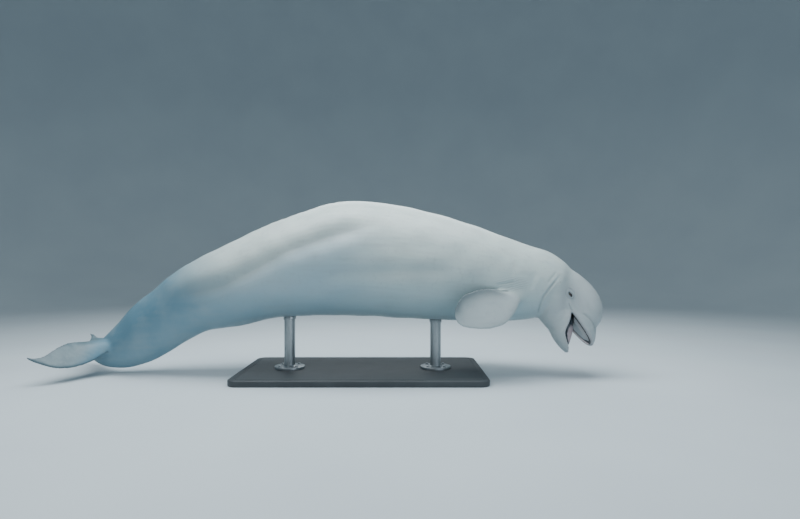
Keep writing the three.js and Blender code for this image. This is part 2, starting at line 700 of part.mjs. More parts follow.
function makeFlange(x) {
  const bottom = stand.base.height + seam;
  const pieces = [upright(stand.flangeRadius, bottom, bottom + stand.flangeHeight, 32, x)];
  for (let i = 0; i < 4; i++) {
    const angle = Math.PI / 4 + (i * Math.PI) / 2;
    const [dx, dy] = [stand.boltCircle * Math.cos(angle), stand.boltCircle * Math.sin(angle)];
    const top = bottom + stand.flangeHeight + stand.boltHeight;
    pieces.push(upright(stand.boltRadius, bottom + stand.boltSunk, top, 6, x + dx, dy));
  }
  return wasm.Manifold.union(pieces);
}

// The largest closed surface of a solid, which drops any scrap that a cut leaves.
function largest(solid) {
  const bodies = solid.decompose();
  return bodies.reduce((a, b) => (b.volume() > a.volume() ? b : a));
}

// Parts a solid in front of and behind a plane, leaving the seam between the two.
function partedAt(solid, point, ahead) {
  const offset = ahead.dot(point);
  return [
    solid.trimByPlane(ahead.toArray(), offset + seam / 2),
    solid.trimByPlane(ahead.clone().negate().toArray(), -offset + seam / 2),
  ];
}

function parted(solid, { back, belly }) {
  const along = new THREE.Vector3(back[0] - belly[0], 0, back[1] - belly[1]).normalize();
  const point = new THREE.Vector3(back[0], 0, back[1]);
  return partedAt(solid, point, leftward.clone().cross(along));
}

function partedAtNape(solid) {
  const crown = new THREE.Vector3(...napeCut.crown).applyMatrix4(headFrame);
  const throat = new THREE.Vector3(...napeCut.throat).applyMatrix4(headFrame);
  const across = leftward.clone().transformDirection(headFrame);
  return partedAt(solid, crown, across.cross(crown.clone().sub(throat)).normalize());
}

// The flipper leaves the chest at a plane laid just outside the skin.
function flipperCut(sideways) {
  const [point, normal] = [flipperRoot.point, flipperRoot.normal].map(
    ([x, y, z]) => new THREE.Vector3(x, sideways * y, z),
  );
  normal.normalize();
  return { normal, offset: normal.dot(point) };
}

// The lower jaw comes off along a thin cut from the mouth corners to the throat.
function makeJawCut() {
  const from = new THREE.Vector3(...jawHinge.from);
  const to = new THREE.Vector3(...jawHinge.to);
  const length = from.distanceTo(to);
  const slice = new THREE.BoxGeometry(length, 500, seam);
  slice.rotateY(Math.atan2(from.z - to.z, to.x - from.x));
  slice.translate((from.x + to.x) / 2, 0, (from.z + to.z) / 2);
  return solidFrom(slice.applyMatrix4(headFrame));
}

// Build the whole skin, then the room inside the mouth, then part it.
const nearFlipper = blade(flipperStations, flipperTip);
const whole = wasm.Manifold.union([
  makeBody(),
  makeRidge(),
  headLoft(skullStations, headFrame, headSides, 18, beakTip),
  headLoft(melonStations, headFrame, headSides, 14, melonTip),
  headLoft(jawStations, lowerFrame, headSides, 14, jawTip),
  nearFlipper,
  mirrored(nearFlipper),
  makeFlukes(),
]);
const plainSkin = geometryOf(whole);
const eyes = { right: makeEye(plainSkin, -1), left: makeEye(plainSkin, 1) };
const lids = eyes.right.lids.add(eyes.left.lids);
const hollows = wasm.Manifold.union([
  makeGape(),
  makeMouthRoom(seam),
  eyes.right.socket,
  eyes.left.socket,
  eyes.right.slit,
  eyes.left.slit,
  makeBlowhole(plainSkin),
  makeCreases(plainSkin),
]);
const upperTeeth = toothRow(skullStations, () => teeth.upperGum, headFrame, false);
const lowerTeeth = toothRow(jawStations, lowerGum, lowerFrame, true);
const flesh = whole.add(lids).subtract(hollows).add(upperTeeth).add(lowerTeeth);
const openMouth = makeGape().add(makeMouthRoom(0));
const tongueSolid = headLoft(tongueStations, lowerFrame, 16, 10, tongueTip).intersect(openMouth);

const solids = {};
let rest;
let headAndJaw;
[headAndJaw, rest] = partedAtNape(flesh);
[solids.neck, rest] = parted(rest, cuts.shoulder);
let chestAndFlippers;
[chestAndFlippers, rest] = parted(rest, cuts.chest);
[solids.torso, rest] = parted(rest, cuts.waist);
[solids.abdomen, rest] = parted(rest, cuts.loin);
let tailEnd;
[solids.tail_stock, tailEnd] = parted(rest, cuts.tailRoot);

const jawAndHead = headAndJaw.subtract(makeJawCut()).decompose();
jawAndHead.sort((a, b) => b.volume() - a.volume());
[solids.head, solids.lower_jaw] = jawAndHead;
solids.tongue = largest(tongueSolid);
solids.eye_right = eyes.right.ball;
solids.eye_left = eyes.left.ball;

for (const [name, sideways] of Object.entries({ flipper_right: -1, flipper_left: 1 })) {
  const { normal, offset } = flipperCut(sideways);
  solids[name] = largest(chestAndFlippers.trimByPlane(normal.toArray(), offset + seam / 2));
  const inward = normal.clone().negate().toArray();
  chestAndFlippers = chestAndFlippers.trimByPlane(inward, -offset + seam / 2);
}
solids.chest = largest(chestAndFlippers);

solids.fluke_right = largest(tailEnd.trimByPlane([0, -1, 0], flukeRootWidth + seam / 2));
solids.fluke_left = largest(tailEnd.trimByPlane([0, 1, 0], flukeRootWidth + seam / 2));
const tailHub = tailEnd
  .trimByPlane([0, -1, 0], -flukeRootWidth + seam / 2)
  .trimByPlane([0, 1, 0], -flukeRootWidth + seam / 2);
solids.tail_end = largest(tailHub);

solids.stand_base = makeBase();
for (const [where, x] of Object.entries(stand.rodX)) {
  solids[`stand_rod_${where}`] = largest(makeRod(x, flesh));
  solids[`stand_flange_${where}`] = makeFlange(x);
}

// Materials, one for each finish
const finishes = {
  skin: new THREE.MeshStandardMaterial({ color: 0xc9cfcc, roughness: 0.42, metalness: 0 }),
  tailSkin: new THREE.MeshStandardMaterial({ color: 0xb4bec1, roughness: 0.45, metalness: 0 }),
  tongue: new THREE.MeshStandardMaterial({ color: 0xb9989c, roughness: 0.35, metalness: 0 }),
  eye: new THREE.MeshStandardMaterial({ color: 0x14100e, roughness: 0.08, metalness: 0 }),
  base: new THREE.MeshStandardMaterial({ color: 0x2e3133, roughness: 0.5, metalness: 0 }),
  steel: new THREE.MeshStandardMaterial({ color: 0xa9adb0, roughness: 0.3, metalness: 1 }),
};

function finishFor(name) {
  if (name.startsWith("eye")) return finishes.eye;
  if (name === "tongue") return finishes.tongue;
  if (name === "stand_base") return finishes.base;
  if (name.startsWith("stand")) return finishes.steel;
  if (name.startsWith("tail") || name.startsWith("fluke")) return finishes.tailSkin;
  return finishes.skin;
}

const whale = new THREE.Group();
whale.position.x = -lengthCentre;
for (const [name, solid] of Object.entries(solids)) {
  const mesh = new THREE.Mesh(geometryOf(solid), finishFor(name));
  mesh.name = name;
  whale.add(mesh);
}

export default whale;
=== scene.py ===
import math
from contextlib import contextmanager

import bpy
import numpy as np
from mathutils import Matrix, Vector
from mathutils.bvhtree import BVHTree


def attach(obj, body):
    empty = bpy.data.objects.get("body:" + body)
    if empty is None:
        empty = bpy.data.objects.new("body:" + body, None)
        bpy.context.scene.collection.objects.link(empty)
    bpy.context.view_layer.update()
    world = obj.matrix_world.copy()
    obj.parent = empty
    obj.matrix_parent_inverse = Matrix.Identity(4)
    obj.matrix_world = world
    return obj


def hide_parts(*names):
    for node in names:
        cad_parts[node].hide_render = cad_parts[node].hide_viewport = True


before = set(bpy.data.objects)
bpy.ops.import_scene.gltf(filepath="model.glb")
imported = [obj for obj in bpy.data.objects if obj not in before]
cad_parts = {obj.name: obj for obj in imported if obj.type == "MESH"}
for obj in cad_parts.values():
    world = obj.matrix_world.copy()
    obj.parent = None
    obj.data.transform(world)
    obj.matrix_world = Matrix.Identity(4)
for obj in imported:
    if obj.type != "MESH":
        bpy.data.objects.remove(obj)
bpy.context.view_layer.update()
mm = 0.001


def say(text):
    print("whale:", text)


# Selecting, joining and finishing meshes
def dropSelection():
    for o in bpy.context.selected_objects:
        o.select_set(False)
    bpy.context.view_layer.objects.active = None


def pick(piece):
    dropSelection()
    piece.select_set(True)
    bpy.context.view_layer.objects.active = piece


@contextmanager
def editing(piece, everything=True):
    # edit mode for the length of a with block
    pick(piece)
    bpy.ops.object.mode_set(mode="EDIT")
    if everything:
        bpy.ops.mesh.select_all(action="SELECT")
    yield
    bpy.ops.object.mode_set(mode="OBJECT")


def finishWith(piece, kind, **settings):
    pick(piece)
    bpy.ops.object.modifier_add(type=kind)
    modifier = piece.modifiers[-1]
    for key, value in settings.items():
        setattr(modifier, key, value)
    bpy.ops.object.modifier_apply(modifier=modifier.name)


def joinAs(name, pieces):
    pick(pieces[0])
    for p in pieces[1:]:
        p.select_set(True)
    bpy.ops.object.join()
    pieces[0].name = name
    pieces[0].data.name = name
    return pieces[0]


def faceOutward(piece):
    with editing(piece):
        bpy.ops.mesh.normals_make_consistent(inside=False)


def settle(piece):
    pick(piece)
    bpy.ops.object.transform_apply(location=True, rotation=True, scale=True)


def shadeSmooth(piece, sharpAngle=None):
    # edges that turn by more than the sharp angle, in degrees, stay crisp
    pick(piece)
    if sharpAngle is None:
        bpy.ops.object.shade_smooth()
    else:
        bpy.ops.object.shade_smooth_by_angle(angle=math.radians(sharpAngle))
    return piece


def valuesOf(items, name, kind=float, width=1):
    # what a mesh keeps for each of its points, edges, faces or corners
    values = np.empty(len(items) * width, kind)
    items.foreach_get(name, values)
    return values.reshape(-1, width) if width > 1 else values


def pointsOf(piece):
    return valuesOf(piece.data.vertices, "co", width=3)


def normalsOf(piece):
    return valuesOf(piece.data.vertices, "normal", width=3)


def middlesOf(piece):
    return valuesOf(piece.data.polygons, "center", width=3)


def edgesOf(piece):
    return valuesOf(piece.data.edges, "vertices", int, 2)


def everywhere(piece):
    return np.ones(len(piece.data.vertices))


def movePoints(piece, co):
    piece.data.vertices.foreach_set("co", np.ascontiguousarray(co, dtype=float).ravel())
    piece.data.update()


def treeOf(piece):
    points = [v.co.copy() for v in piece.data.vertices]
    return BVHTree.FromPolygons(points, [p.vertices[:] for p in piece.data.polygons])


def selectFaces(piece, chosen):
    mesh = piece.data
    inChosen = np.repeat(chosen, valuesOf(mesh.polygons, "loop_total", int))
    verts = np.zeros(len(mesh.vertices), bool)
    verts[valuesOf(mesh.loops, "vertex_index", int)[inChosen]] = True
    edges = np.zeros(len(mesh.edges), bool)
    edges[valuesOf(mesh.loops, "edge_index", int)[inChosen]] = True
    mesh.vertices.foreach_set("select", verts)
    mesh.edges.foreach_set("select", edges)
    mesh.polygons.foreach_set("select", chosen)


def refine(piece, near):
    # splits the faces whose middles pass the test, so that small forms have enough points
    bpy.context.tool_settings.mesh_select_mode = (False, False, True)
    selectFaces(piece, near(middlesOf(piece)))
    with editing(piece, everything=False):
        bpy.ops.mesh.subdivide(number_cuts=1)


holdVolume = -0.52  # the backward step that gives back what a round of relaxing takes


def relax(piece, weight, rounds, backward=0.0):
    # evens the points out among their neighbours
    co = pointsOf(piece)
    pairs = edgesOf(piece)
    pairs = pairs[(weight[pairs] > 0).any(axis=1)]
    used, small = np.unique(pairs, return_inverse=True)
    a, b = small.reshape(-1, 2).T
    part, share, count = co[used], weight[used], len(used)
    valence = np.bincount(a, minlength=count) + np.bincount(b, minlength=count)
    for step in range(rounds):
        for amount in (0.5, backward) if backward else (0.5,):
            mean = np.empty_like(part)
            for k in range(3):
                total = np.bincount(a, part[b, k], count) + np.bincount(b, part[a, k], count)
                mean[:, k] = total / valence
            part += (mean - part) * (amount * share)[:, None]
    co[used] = part
    movePoints(piece, co)


# Soft steps and bells that all the modelling below is shaped with
def bell(distance, width):
    return np.exp(-((distance / width) ** 2))


def rampUp(value, low, high):
    share = np.clip((value - low) / (high - low), 0, 1)
    return share * share * (3 - 2 * share)


def rampDown(value, low, high):
    return rampUp(-value, -high, -low)


def between(value, start, end):
    # 1 between a start and an end, each of which is a pair of places that it fades over
    return rampUp(value, *start) * rampDown(value, *end)


def alongRun(points, run):
    # distance from points to a broken line and the share of its length at the nearest place
    points = np.asarray(points)
    run = np.asarray(run, float)
    best = np.full(len(points), 1e9)
    share = np.zeros(len(points))
    lengths = np.linalg.norm(np.diff(run, axis=0), axis=1)
    passed = np.concatenate([[0], np.cumsum(lengths)])
    for i, length in enumerate(lengths):
        way = (run[i + 1] - run[i]) / length
        rel = points - run[i]
        t = np.clip(rel @ way, 0, length)
        off = rel - t[:, None] * way
        d = np.linalg.norm(off, axis=1)
        closer = d < best
        best = np.where(closer, d, best)
        share = np.where(closer, (passed[i] + t) / passed[-1], share)
    return best, share


def smoothRun(values, places):
    # a smooth run through the rows, read at places from 0 to 1
    rows = np.asarray(values, float)
    rows = np.concatenate([[2 * rows[0] - rows[1]], rows, [2 * rows[-1] - rows[-2]]])
    spans = len(rows) - 3
    at = np.clip(np.asarray(places, float) * spans, 0, spans)
    i = np.minimum(at.astype(int), spans - 1)
    t = (at - i).reshape(-1, *[1] * (rows.ndim - 1))
    a, b, c, d = (rows[i + k] for k in range(4))
    return b + 0.5 * t * (c - a + t * (2 * a - 5 * b + 4 * c - d + t * (3 * b - 3 * c + d - a)))


# The head's own places. Sizes are in mm; along runs out over the palate, up is from its lips.
midShift = Vector((21.57, 0, 0))
head = {
    "corner": (1452, -77, 370),  # mid point between the corners of the mouth
    "palatePitch": 53.7,
    "jawPitch": 91.8,
    "yaw": 20,
    "roll": 9,
    "rollHeight": 70,
}


def jawPlace(pitch):
    between = (head["palatePitch"] + head["jawPitch"]) / 2
    lift = Matrix.Translation((0, 0, head["rollHeight"]))
    turn = Matrix.Translation(Vector(head["corner"]) + midShift)
    turn = turn @ Matrix.Rotation(math.radians(between), 4, "Y")
    turn = turn @ Matrix.Rotation(math.radians(-head["yaw"]), 4, "Z")
    turn = turn @ lift @ Matrix.Rotation(math.radians(-head["roll"]), 4, "X") @ lift.inverted()
    return turn @ Matrix.Rotation(math.radians(pitch - between), 4, "Y")


upperPlace = jawPlace(head["palatePitch"])
lowerPlace = jawPlace(head["jawPitch"])
bodyPlace = Matrix.Translation(midShift)


def placed(points, place):
    turn = np.array(place)
    return (np.atleast_2d(points) @ turn[:3, :3].T + turn[:3, 3]) * mm


def seenFrom(co, place):
    # points of the model in mm of a place of its own: along, to the left, up
    turn = np.array(place.inverted())
    return (co / mm) @ turn[:3, :3].T + turn[:3, 3]


# Forms drawn out of a sphere's own rings, from pole to pole
def formThrough(name, rings, startPole, endPole):
    count, sides = rings.shape[:2]
    dropSelection()
    bpy.ops.mesh.primitive_uv_sphere_add(segments=sides, ring_count=count + 1, radius=1)
    form = bpy.context.object
    form.name = name
    ball = pointsOf(form)
    ring = np.rint(np.arccos(np.clip(ball[:, 2], -1, 1)) / math.pi * (count + 1)).astype(int)
    side = np.rint(np.arctan2(ball[:, 1], ball[:, 0]) / (2 * math.pi) * sides).astype(int) % sides
    drawn = rings[np.clip(ring - 1, 0, count - 1), side]
    drawn[ring == 0] = startPole
    drawn[ring == count + 1] = endPole
    movePoints(form, drawn)
    faceOutward(form)
    return form


def section(top, bottom, halfWidth, keel, wideAt, sides):
    angle = 2 * math.pi * np.arange(sides) / sides
    rise, reach = np.cos(angle), np.sin(angle)
    top, bottom = np.array((top[0], 0, top[1])), np.array((bottom[0], 0, bottom[1]))
    centre = bottom + (top - bottom) * wideAt
    end = np.where((rise > 0)[:, None], top, bottom)
    ring = centre + (end - centre) * np.abs(rise)[:, None]
    ring[:, 1] = halfWidth * np.sign(reach) * np.abs(reach) ** (1 + keel)
    return ring


body = {
    "sides": 72,
    "steps": 150,
    "notch": (-1543, 0, 179),   # between the flukes
    "cheekEnd": (-7, 0, -10),   # inside the head, in its own place
    # back and belly as (x, z), half width, keel, roll in degrees and shift to the left
    "stations": [
        ((-1532, 190), (-1528, 160), 24, 0, 0, 0),
        ((-1488, 184), (-1496, 80), 40, 0.1, 0, 0),
        ((-1440, 231), (-1393, 38), 56, 0.3, 0, 0),
        ((-1361, 313), (-1254, 44), 80, 0.4, 0, 0),
        ((-1260, 424), (-1102, 98), 108, 0.35, 0, 0),
        ((-1147, 514), (-945, 189), 136, 0.28, 0, 0),
        ((-1014, 623), (-793, 268), 168, 0.2, 0, 0),
        ((-837, 732), (-610, 300), 208, 0.12, 0, 0),
        ((-635, 829), (-446, 336), 242, 0.06, 0, 0),
        ((-427, 928), (-294, 360), 276, 0.03, 0, 0),
        ((-206, 1006), (-130, 368), 308, 0, 0, 0),
        ((47, 1083), (60, 369), 338, 0, 0, 0),
        ((331, 1072), (268, 362), 346, -0.03, 0, 0),
        ((615, 1015), (489, 349), 330, -0.03, 0, 0),
        ((868, 941), (710, 341), 298, 0, 0, 0),
        ((1089, 861), (931, 332), 256, 0, 2, 0),
        ((1247, 806), (1121, 335), 218, 0, 6, -3),
        ((1373, 766), (1234, 347), 188, 0, 12, -9),
        ((1474, 700), (1296, 362), 160, 0, 20, -20),
    ],
    # cheeks in the head's place: top and bottom as (along, up), half width, where widest
    "cheeks": [
        ((-228, 214), (-82, -146), 146, 0.46),
        ((-172, 210), (-52, -138), 132, 0.44),
        ((-118, 140), (-30, -126), 117, 0.42),
        ((-65, 96), (-13, -102), 100, 0.42),
        ((-26, 44), (-5, -66), 70, 0.46),
    ],
}


def bodyRing(top, bottom, halfWidth, keel, roll, shift):
    ring = section(top, bottom, halfWidth, keel, 0.5, body["sides"])
    upward = Vector((top[0] - bottom[0], 0, top[1] - bottom[1]))
    centre = np.array(((top[0] + bottom[0]) / 2, 0, (top[1] + bottom[1]) / 2))
    axis = Vector((0, 1, 0)).cross(upward).normalized()
    turn = np.array(Matrix.Rotation(math.radians(-roll), 3, axis))
    return placed((ring - centre) @ turn.T + centre + (0, shift, 0), bodyPlace)


def makeBody():
    rings = [bodyRing(*station) for station in body["stations"]]
    for top, bottom, halfWidth, wideAt in body["cheeks"]:
        ring = section(top, bottom, halfWidth, 0, wideAt, body["sides"])
        rings.append(placed(ring, upperPlace))
    drawn = smoothRun(rings, np.linspace(0, 1, body["steps"]))
    ends = placed(body["notch"], bodyPlace)[0], placed(body["cheekEnd"], upperPlace)[0]
    return formThrough("whale_body", drawn, *ends)


# Sections in a jaw's place: top and bottom as (along, up), half width, where widest
skull = {
    "stations": [
        ((-235, 175), (-215, -20), 80, 0.4),
        ((-170, 206), (-155, -50), 118, 0.38),
        ((-88, 228), (-80, -60), 120, 0.32),
        ((-8, 222), (-5, -55), 110, 0.28),
        ((60, 185), (60, -35), 100, 0.25),
        ((112, 140), (110, -30), 91, 0.28),
        ((156, 98), (152, -26), 79, 0.34),
        ((186, 70), (183, -22), 66, 0.38),
        ((208, 46), (206, -16), 50, 0.42),
        ((223, 25), (222, -9), 32, 0.45),
    ],
    "tip": (232, 7),
}
melon = {
    "stations": [
        ((-262, 192), (-220, 80), 84, 0.4),
        ((-168, 236), (-150, 50), 112, 0.38),
        ((-80, 250), (-70, 50), 115, 0.42),
        ((0, 247), (0, 50), 116, 0.42),
        ((60, 228), (48, 50), 112, 0.42),
        ((108, 198), (88, 55), 101, 0.45),
        ((141, 162), (118, 62), 80, 0.45),
        ((158, 124), (140, 76), 50, 0.5),
    ],
    "tip": (163, 100),
}
lowerJaw = {
    "stations": [
        ((-50, 15), (-62, -125), 62, 0.7),
        ((0, 30), (9, -170), 101, 0.8),
        ((45, 30), (47, -152), 99, 0.8),
        ((90, 28), (91, -114), 90, 0.76),
        ((135, 25), (137, -92), 79, 0.72),
        ((178, 20), (179, -64), 63, 0.68),
        ((208, 14), (209, -38), 44, 0.64),
        ((224, 8), (225, -17), 25, 0.6),
    ],
    "tip": (231, -4),
    # the lower lips, which dip between the tip and the corner
    "lipLine": [(250, 2), (212, -8), (186, -21), (152, -34), (122, -38), (96, -30), (68, -16), (34, -6)],
}
# The mouth's own room: a vault in the palate, a trough in the lower jaw and the gullet behind
mouth = {
    "vault": [
        ((-40, 20), (-40, -30), 72),
        ((30, 16), (30, -30), 84),
        ((100, 14), (100, -30), 77),
        ((150, 13), (150, -30), 64),
        ((190, 11), (190, -30), 46),
        ((212, 8), (212, -30), 26),
    ],
    "trough": [
        ((-10, 30), (-10, -50), 78),
        ((45, 30), (45, -62), 82),
        ((95, 30), (95, -64), 72),
        ((145, 30), (145, -56), 58),
        ((185, 30), (185, -38), 41),
        ((206, 30), (206, -20), 23),
    ],
    "gullet": [
        ((-105, 0), (-95, -30), 24),
        ((-75, 14), (-55, -55), 56),
        ((-35, 20), (-12, -75), 76),
        ((20, 20), (35, -70), 80),
    ],
    "boxiness": -0.35,
    "gapeReach": 420,
    "gapeWidth": 400,
}


def headForm(name, stations, place, tip=None, keel=0.0, sides=48, steps=56):
    rows = [(*s[0], *s[1], s[2], s[3] if len(s) > 3 else 0.5) for s in stations]
    rings = []
    for a, b, c, d, halfWidth, wideAt in smoothRun(rows, np.linspace(0, 1, steps)):
        rings.append(placed(section((a, b), (c, d), halfWidth, keel, wideAt, sides), place))
    rings = np.array(rings)
    end = placed((tip[0], 0, tip[1]), place)[0] if tip else rings[-1].mean(axis=0)
    return formThrough(name, rings, rings[0].mean(axis=0), end)


def makeMouthRoom():
    # the gape is a wedge from the palate to the lower lips; the rooms hollow the jaws behind it
    opening = math.radians(head["jawPitch"] - head["palatePitch"])
    c, s = math.cos(opening), math.sin(opening)
    reach = mouth["gapeReach"]
    outline = [(-3, 0), (reach, 0), (reach * c, -reach * s)]
    for along, up in lowerJaw["lipLine"]:
        outline.append((along * c + up * s, up * c - along * s))
    dropSelection()
    bpy.ops.mesh.primitive_circle_add(vertices=len(outline), radius=1, fill_type="NGON")
    wedge = bpy.context.object
    half = mouth["gapeWidth"] / 2
    movePoints(wedge, placed([(x, -half, z) for x, z in outline], upperPlace))
    across = placed([(0, 2 * half, 0), (0, 0, 0)], upperPlace)
    with editing(wedge):
        bpy.ops.mesh.extrude_region_move(TRANSFORM_OT_translate={"value": tuple(across[0] - across[1])})
    faceOutward(wedge)
    rooms = (("vault", upperPlace), ("trough", lowerPlace), ("gullet", upperPlace))
    rooms = [headForm(name, mouth[name], place, keel=mouth["boxiness"]) for name, place in rooms]
    hollows = joinAs("mouth_hollows", rooms)
    tree = treeOf(hollows)
    return joinAs("mouth_room", [wedge, hollows]), tree


# Flippers and flukes: front edge, rear edge, thickness and camber at each station
flipper = {
    "stations": [
        ((1140, -165, 470), (1048, -165, 532), 62, 0),
        ((1144, -232, 462), (1036, -240, 540), 58, 0),
        ((1098, -272, 404), (998, -264, 545), 50, 4),
        ((1038, -303, 349), (948, -288, 550), 42, 8),
        ((952, -328, 324), (893, -312, 549), 34, 12),
        ((881, -342, 322), (840, -338, 537), 28, 15),
        ((808, -352, 330), (789, -364, 518), 20, 13),
        ((764, -360, 348), (755, -386, 482), 13, 8),
        ((742, -368, 378), (738, -390, 442), 8, 3),
    ],
    "tip": (734, -381, 410),
    "edge": 3.2,  # half the least thickness, which the rounded edges keep
}
fluke = {
    "stations": [
        ((-1300, 0, 200), (-1541, 0, 193), 60, 0),
        ((-1335, -52, 186), (-1549, -50, 206), 52, 0),
        ((-1404, -103, 136), (-1566, -103, 218), 40, 0),
        ((-1462, -160, 104), (-1590, -160, 222), 31, 2),
        ((-1500, -220, 94), (-1607, -218, 214), 25, 4),
        ((-1540, -276, 95), (-1626, -272, 196), 18, 4),
        ((-1592, -323, 109), (-1650, -316, 176), 13, 3),
        ((-1662, -356, 143), (-1682, -350, 172), 9, 1),
        ((-1702, -368, 166), (-1709, -366, 181), 8, 0),
    ],
    "tip": (-1718, -373, 182),
    "edge": 3.6,
    "hub": (-1470, 0, 160),
    "yaw": 5,
    "roll": 2,
    "leftBend": (24, 0, 14),  # the left tip is bent forward and up
    "bendFrom": 0.68,         # the share of the span where that begins
}
# How full a blade's section is: its swelling, the part of it that runs to the rear edge, and in all
fullness = {"fore": 1.45, "rear": 0.07, "all": 1.25}


def makeBlade(name, blade, place, side, sides=40, steps=60):
    tip = blade["tip"]
    rows = [(*s[0], *s[1], s[2], s[3]) for s in blade["stations"]]
    run = smoothRun(rows, np.linspace(0, 1, steps))
    front, rear, thick, camber = run[:, :3], run[:, 3:6], run[:, 6], run[:, 7]
    centre = (front + rear) / 2
    spanward = np.gradient(np.concatenate([centre, [tip]]), axis=0)[:steps]
    angle = 2 * math.pi * np.arange(sides) / sides
    along = (1 - np.cos(angle)) / 2
    full = fullness["fore"] * np.sqrt(along) * (1 - along) + fullness["rear"] * along
    rings = []
    for i in range(steps):
        chord = rear[i] - front[i]
        face = np.cross(chord, spanward[i])
        face /= np.linalg.norm(face)
        half = thick[i] / 2 * full * fullness["all"] + blade["edge"] * np.sqrt(np.abs(np.sin(angle)))
        half *= np.sign(np.round(np.sin(angle), 6))
        lift = -4 * camber[i] * along * (1 - along)
        rings.append(front[i] + along[:, None] * chord + (half + lift)[:, None] * face)
    mirror = (1, side, 1)
    bend = np.array(blade["leftBend"] if side < 0 and "leftBend" in blade else (0, 0, 0))
    bends = rampUp(np.linspace(0, 1, steps), fluke["bendFrom"], 1)[:, None] * bend
    rings = np.array([placed(r * mirror + b, place) for r, b in zip(rings, bends)])
    start = placed(centre[0] * mirror, place)[0]
    return formThrough(name, rings, start, placed(np.array(tip) * mirror + bend, place)[0])


hub = Matrix.Translation(fluke["hub"])
flukeTurn = Matrix.Rotation(math.radians(fluke["yaw"]), 4, "Z")
flukeTurn = flukeTurn @ Matrix.Rotation(math.radians(fluke["roll"]), 4, "X")
flukePlace = bodyPlace @ hub @ flukeTurn @ hub.inverted()

voxel = 0.0045
roomVoxel = 0.003

forms = [
    makeBody(),
    headForm("skull", skull["stations"], upperPlace, skull["tip"]),
    headForm("melon", melon["stations"], upperPlace, melon["tip"]),
    headForm("jaw", lowerJaw["stations"], lowerPlace, lowerJaw["tip"]),
]
trunkTree = treeOf(forms[0])
for side in (1, -1):
    forms.append(makeBlade("flipper", flipper, bodyPlace, side))
    forms.append(makeBlade("fluke", fluke, flukePlace, side))
skin = joinAs("whale_skin", forms)
finishWith(skin, "REMESH", mode="VOXEL", voxel_size=voxel)
say(f"skin joined from {len(forms)} forms, {len(skin.data.vertices)} points")

# The forms melt into each other at the head, the flippers and the flukes before the mouth is cut.
# Places and radii of the right side, in mm; the left side has the same.
melts = [
    {"at": (1110, 225, 495), "radius": (105, 50, 90), "rounds": 70},
    {"at": (1165, 200, 490), "radius": (80, 70, 100), "rounds": 110},
    {"at": (1120, 235, 545), "radius": (75, 45, 40), "rounds": 40},
    {"at": (-1400, 75, 165), "radius": (110, 45, 60), "rounds": 45},
]


def meltWeight(co, melt):
    weight = np.zeros(len(co))
    for side in (1, -1):
        at = np.array(melt["at"]) * (1, side, 1)
        rel = (co / mm - np.array(midShift) - at) / np.array(melt["radius"])
        weight = np.maximum(weight, rampDown(np.linalg.norm(rel, axis=1), 0.6, 1.5))
    return weight


def headWeight(co):
    # all of the head, but little of the beak and the chin
    here = seenFrom(co, upperPlace)
    low = seenFrom(co, lowerPlace)
    inHead = rampUp(here[:, 0] + 0.35 * here[:, 2], -360, -250)
    beak = rampUp(here[:, 0], 100, 170) * rampDown(here[:, 2], 70, 120)
    chin = rampUp(low[:, 0], 60, 140)
    return inHead * (1 - 0.9 * np.maximum(beak, chin))


crown = {"at": (-165, 0, 150), "radius": (130, 170, 95)}


def crownWeight(co):
    # the top of the head, where the neck, the cheeks and the melon meet in one smooth form
    rel = (seenFrom(co, upperPlace) - crown["at"]) / crown["radius"]
    return rampDown(np.linalg.norm(rel, axis=1), 0.6, 1.3)


def lipHeightAt(along):
    return np.interp(along, *np.array(sorted(lowerJaw["lipLine"])).T)


def overLips(low):
    # how far points stand over the lower lips
    return low[:, 2] - lipHeightAt(low[:, 0])


# The room that the flippers take up, and how far off the trunk a point of them stands where they begin
flipperRoom = {"from": 680, "to": 1260, "aside": 150, "under": 660, "off": (8, 38)}


def flipperShare(co):
    # 1 on the flippers, fading over their roots
    x, y, z = (co / mm).T
    inRoom = (x > flipperRoom["from"]) & (x < flipperRoom["to"])
    inRoom &= (np.abs(y) > flipperRoom["aside"]) & (z < flipperRoom["under"])
    off = np.zeros(len(co))
    for i in np.nonzero(inRoom)[0]:
        at, normal, _, gap = trunkTree.find_nearest(Vector(co[i]))
        if (Vector(co[i]) - at).dot(normal) > 0:
            off[i] = gap / mm
    return rampUp(off, *flipperRoom["off"])


def thinEdgeWeight(co):
    # the flippers, the flukes and the lips, where the steps of the remesh would show
    here = seenFrom(co, upperPlace)
    low = seenFrom(co, lowerPlace)
    lips = np.maximum(bell(here[:, 2], 24), bell(overLips(low), 24))
    lips *= rampUp(here[:, 0], 10, 60) * rampUp(low[:, 0], 10, 60)
    flukes = rampDown(co[:, 0] / mm, -1420, -1330)
    return np.maximum(np.maximum(flipperShare(co), flukes), lips)


relax(skin, everywhere(skin), 3, backward=holdVolume)
for melt in melts:
    relax(skin, meltWeight(pointsOf(skin), melt), melt["rounds"])
relax(skin, headWeight(pointsOf(skin)), 50)
relax(skin, crownWeight(pointsOf(skin)), 150)
say("forms melted together")
room, hollowsTree = makeMouthRoom()
finishWith(room, "REMESH", mode="VOXEL", voxel_size=roomVoxel)
finishWith(skin, "BOOLEAN", operation="DIFFERENCE", object=room, solver="MANIFOLD")
bpy.data.objects.remove(room)
finishWith(skin, "REMESH", mode="VOXEL", voxel_size=voxel)
relax(skin, everywhere(skin), 4, backward=holdVolume)
relax(skin, thinEdgeWeight(pointsOf(skin)), 16, backward=holdVolume)
say(f"mouth opened, {len(skin.data.vertices)} points")

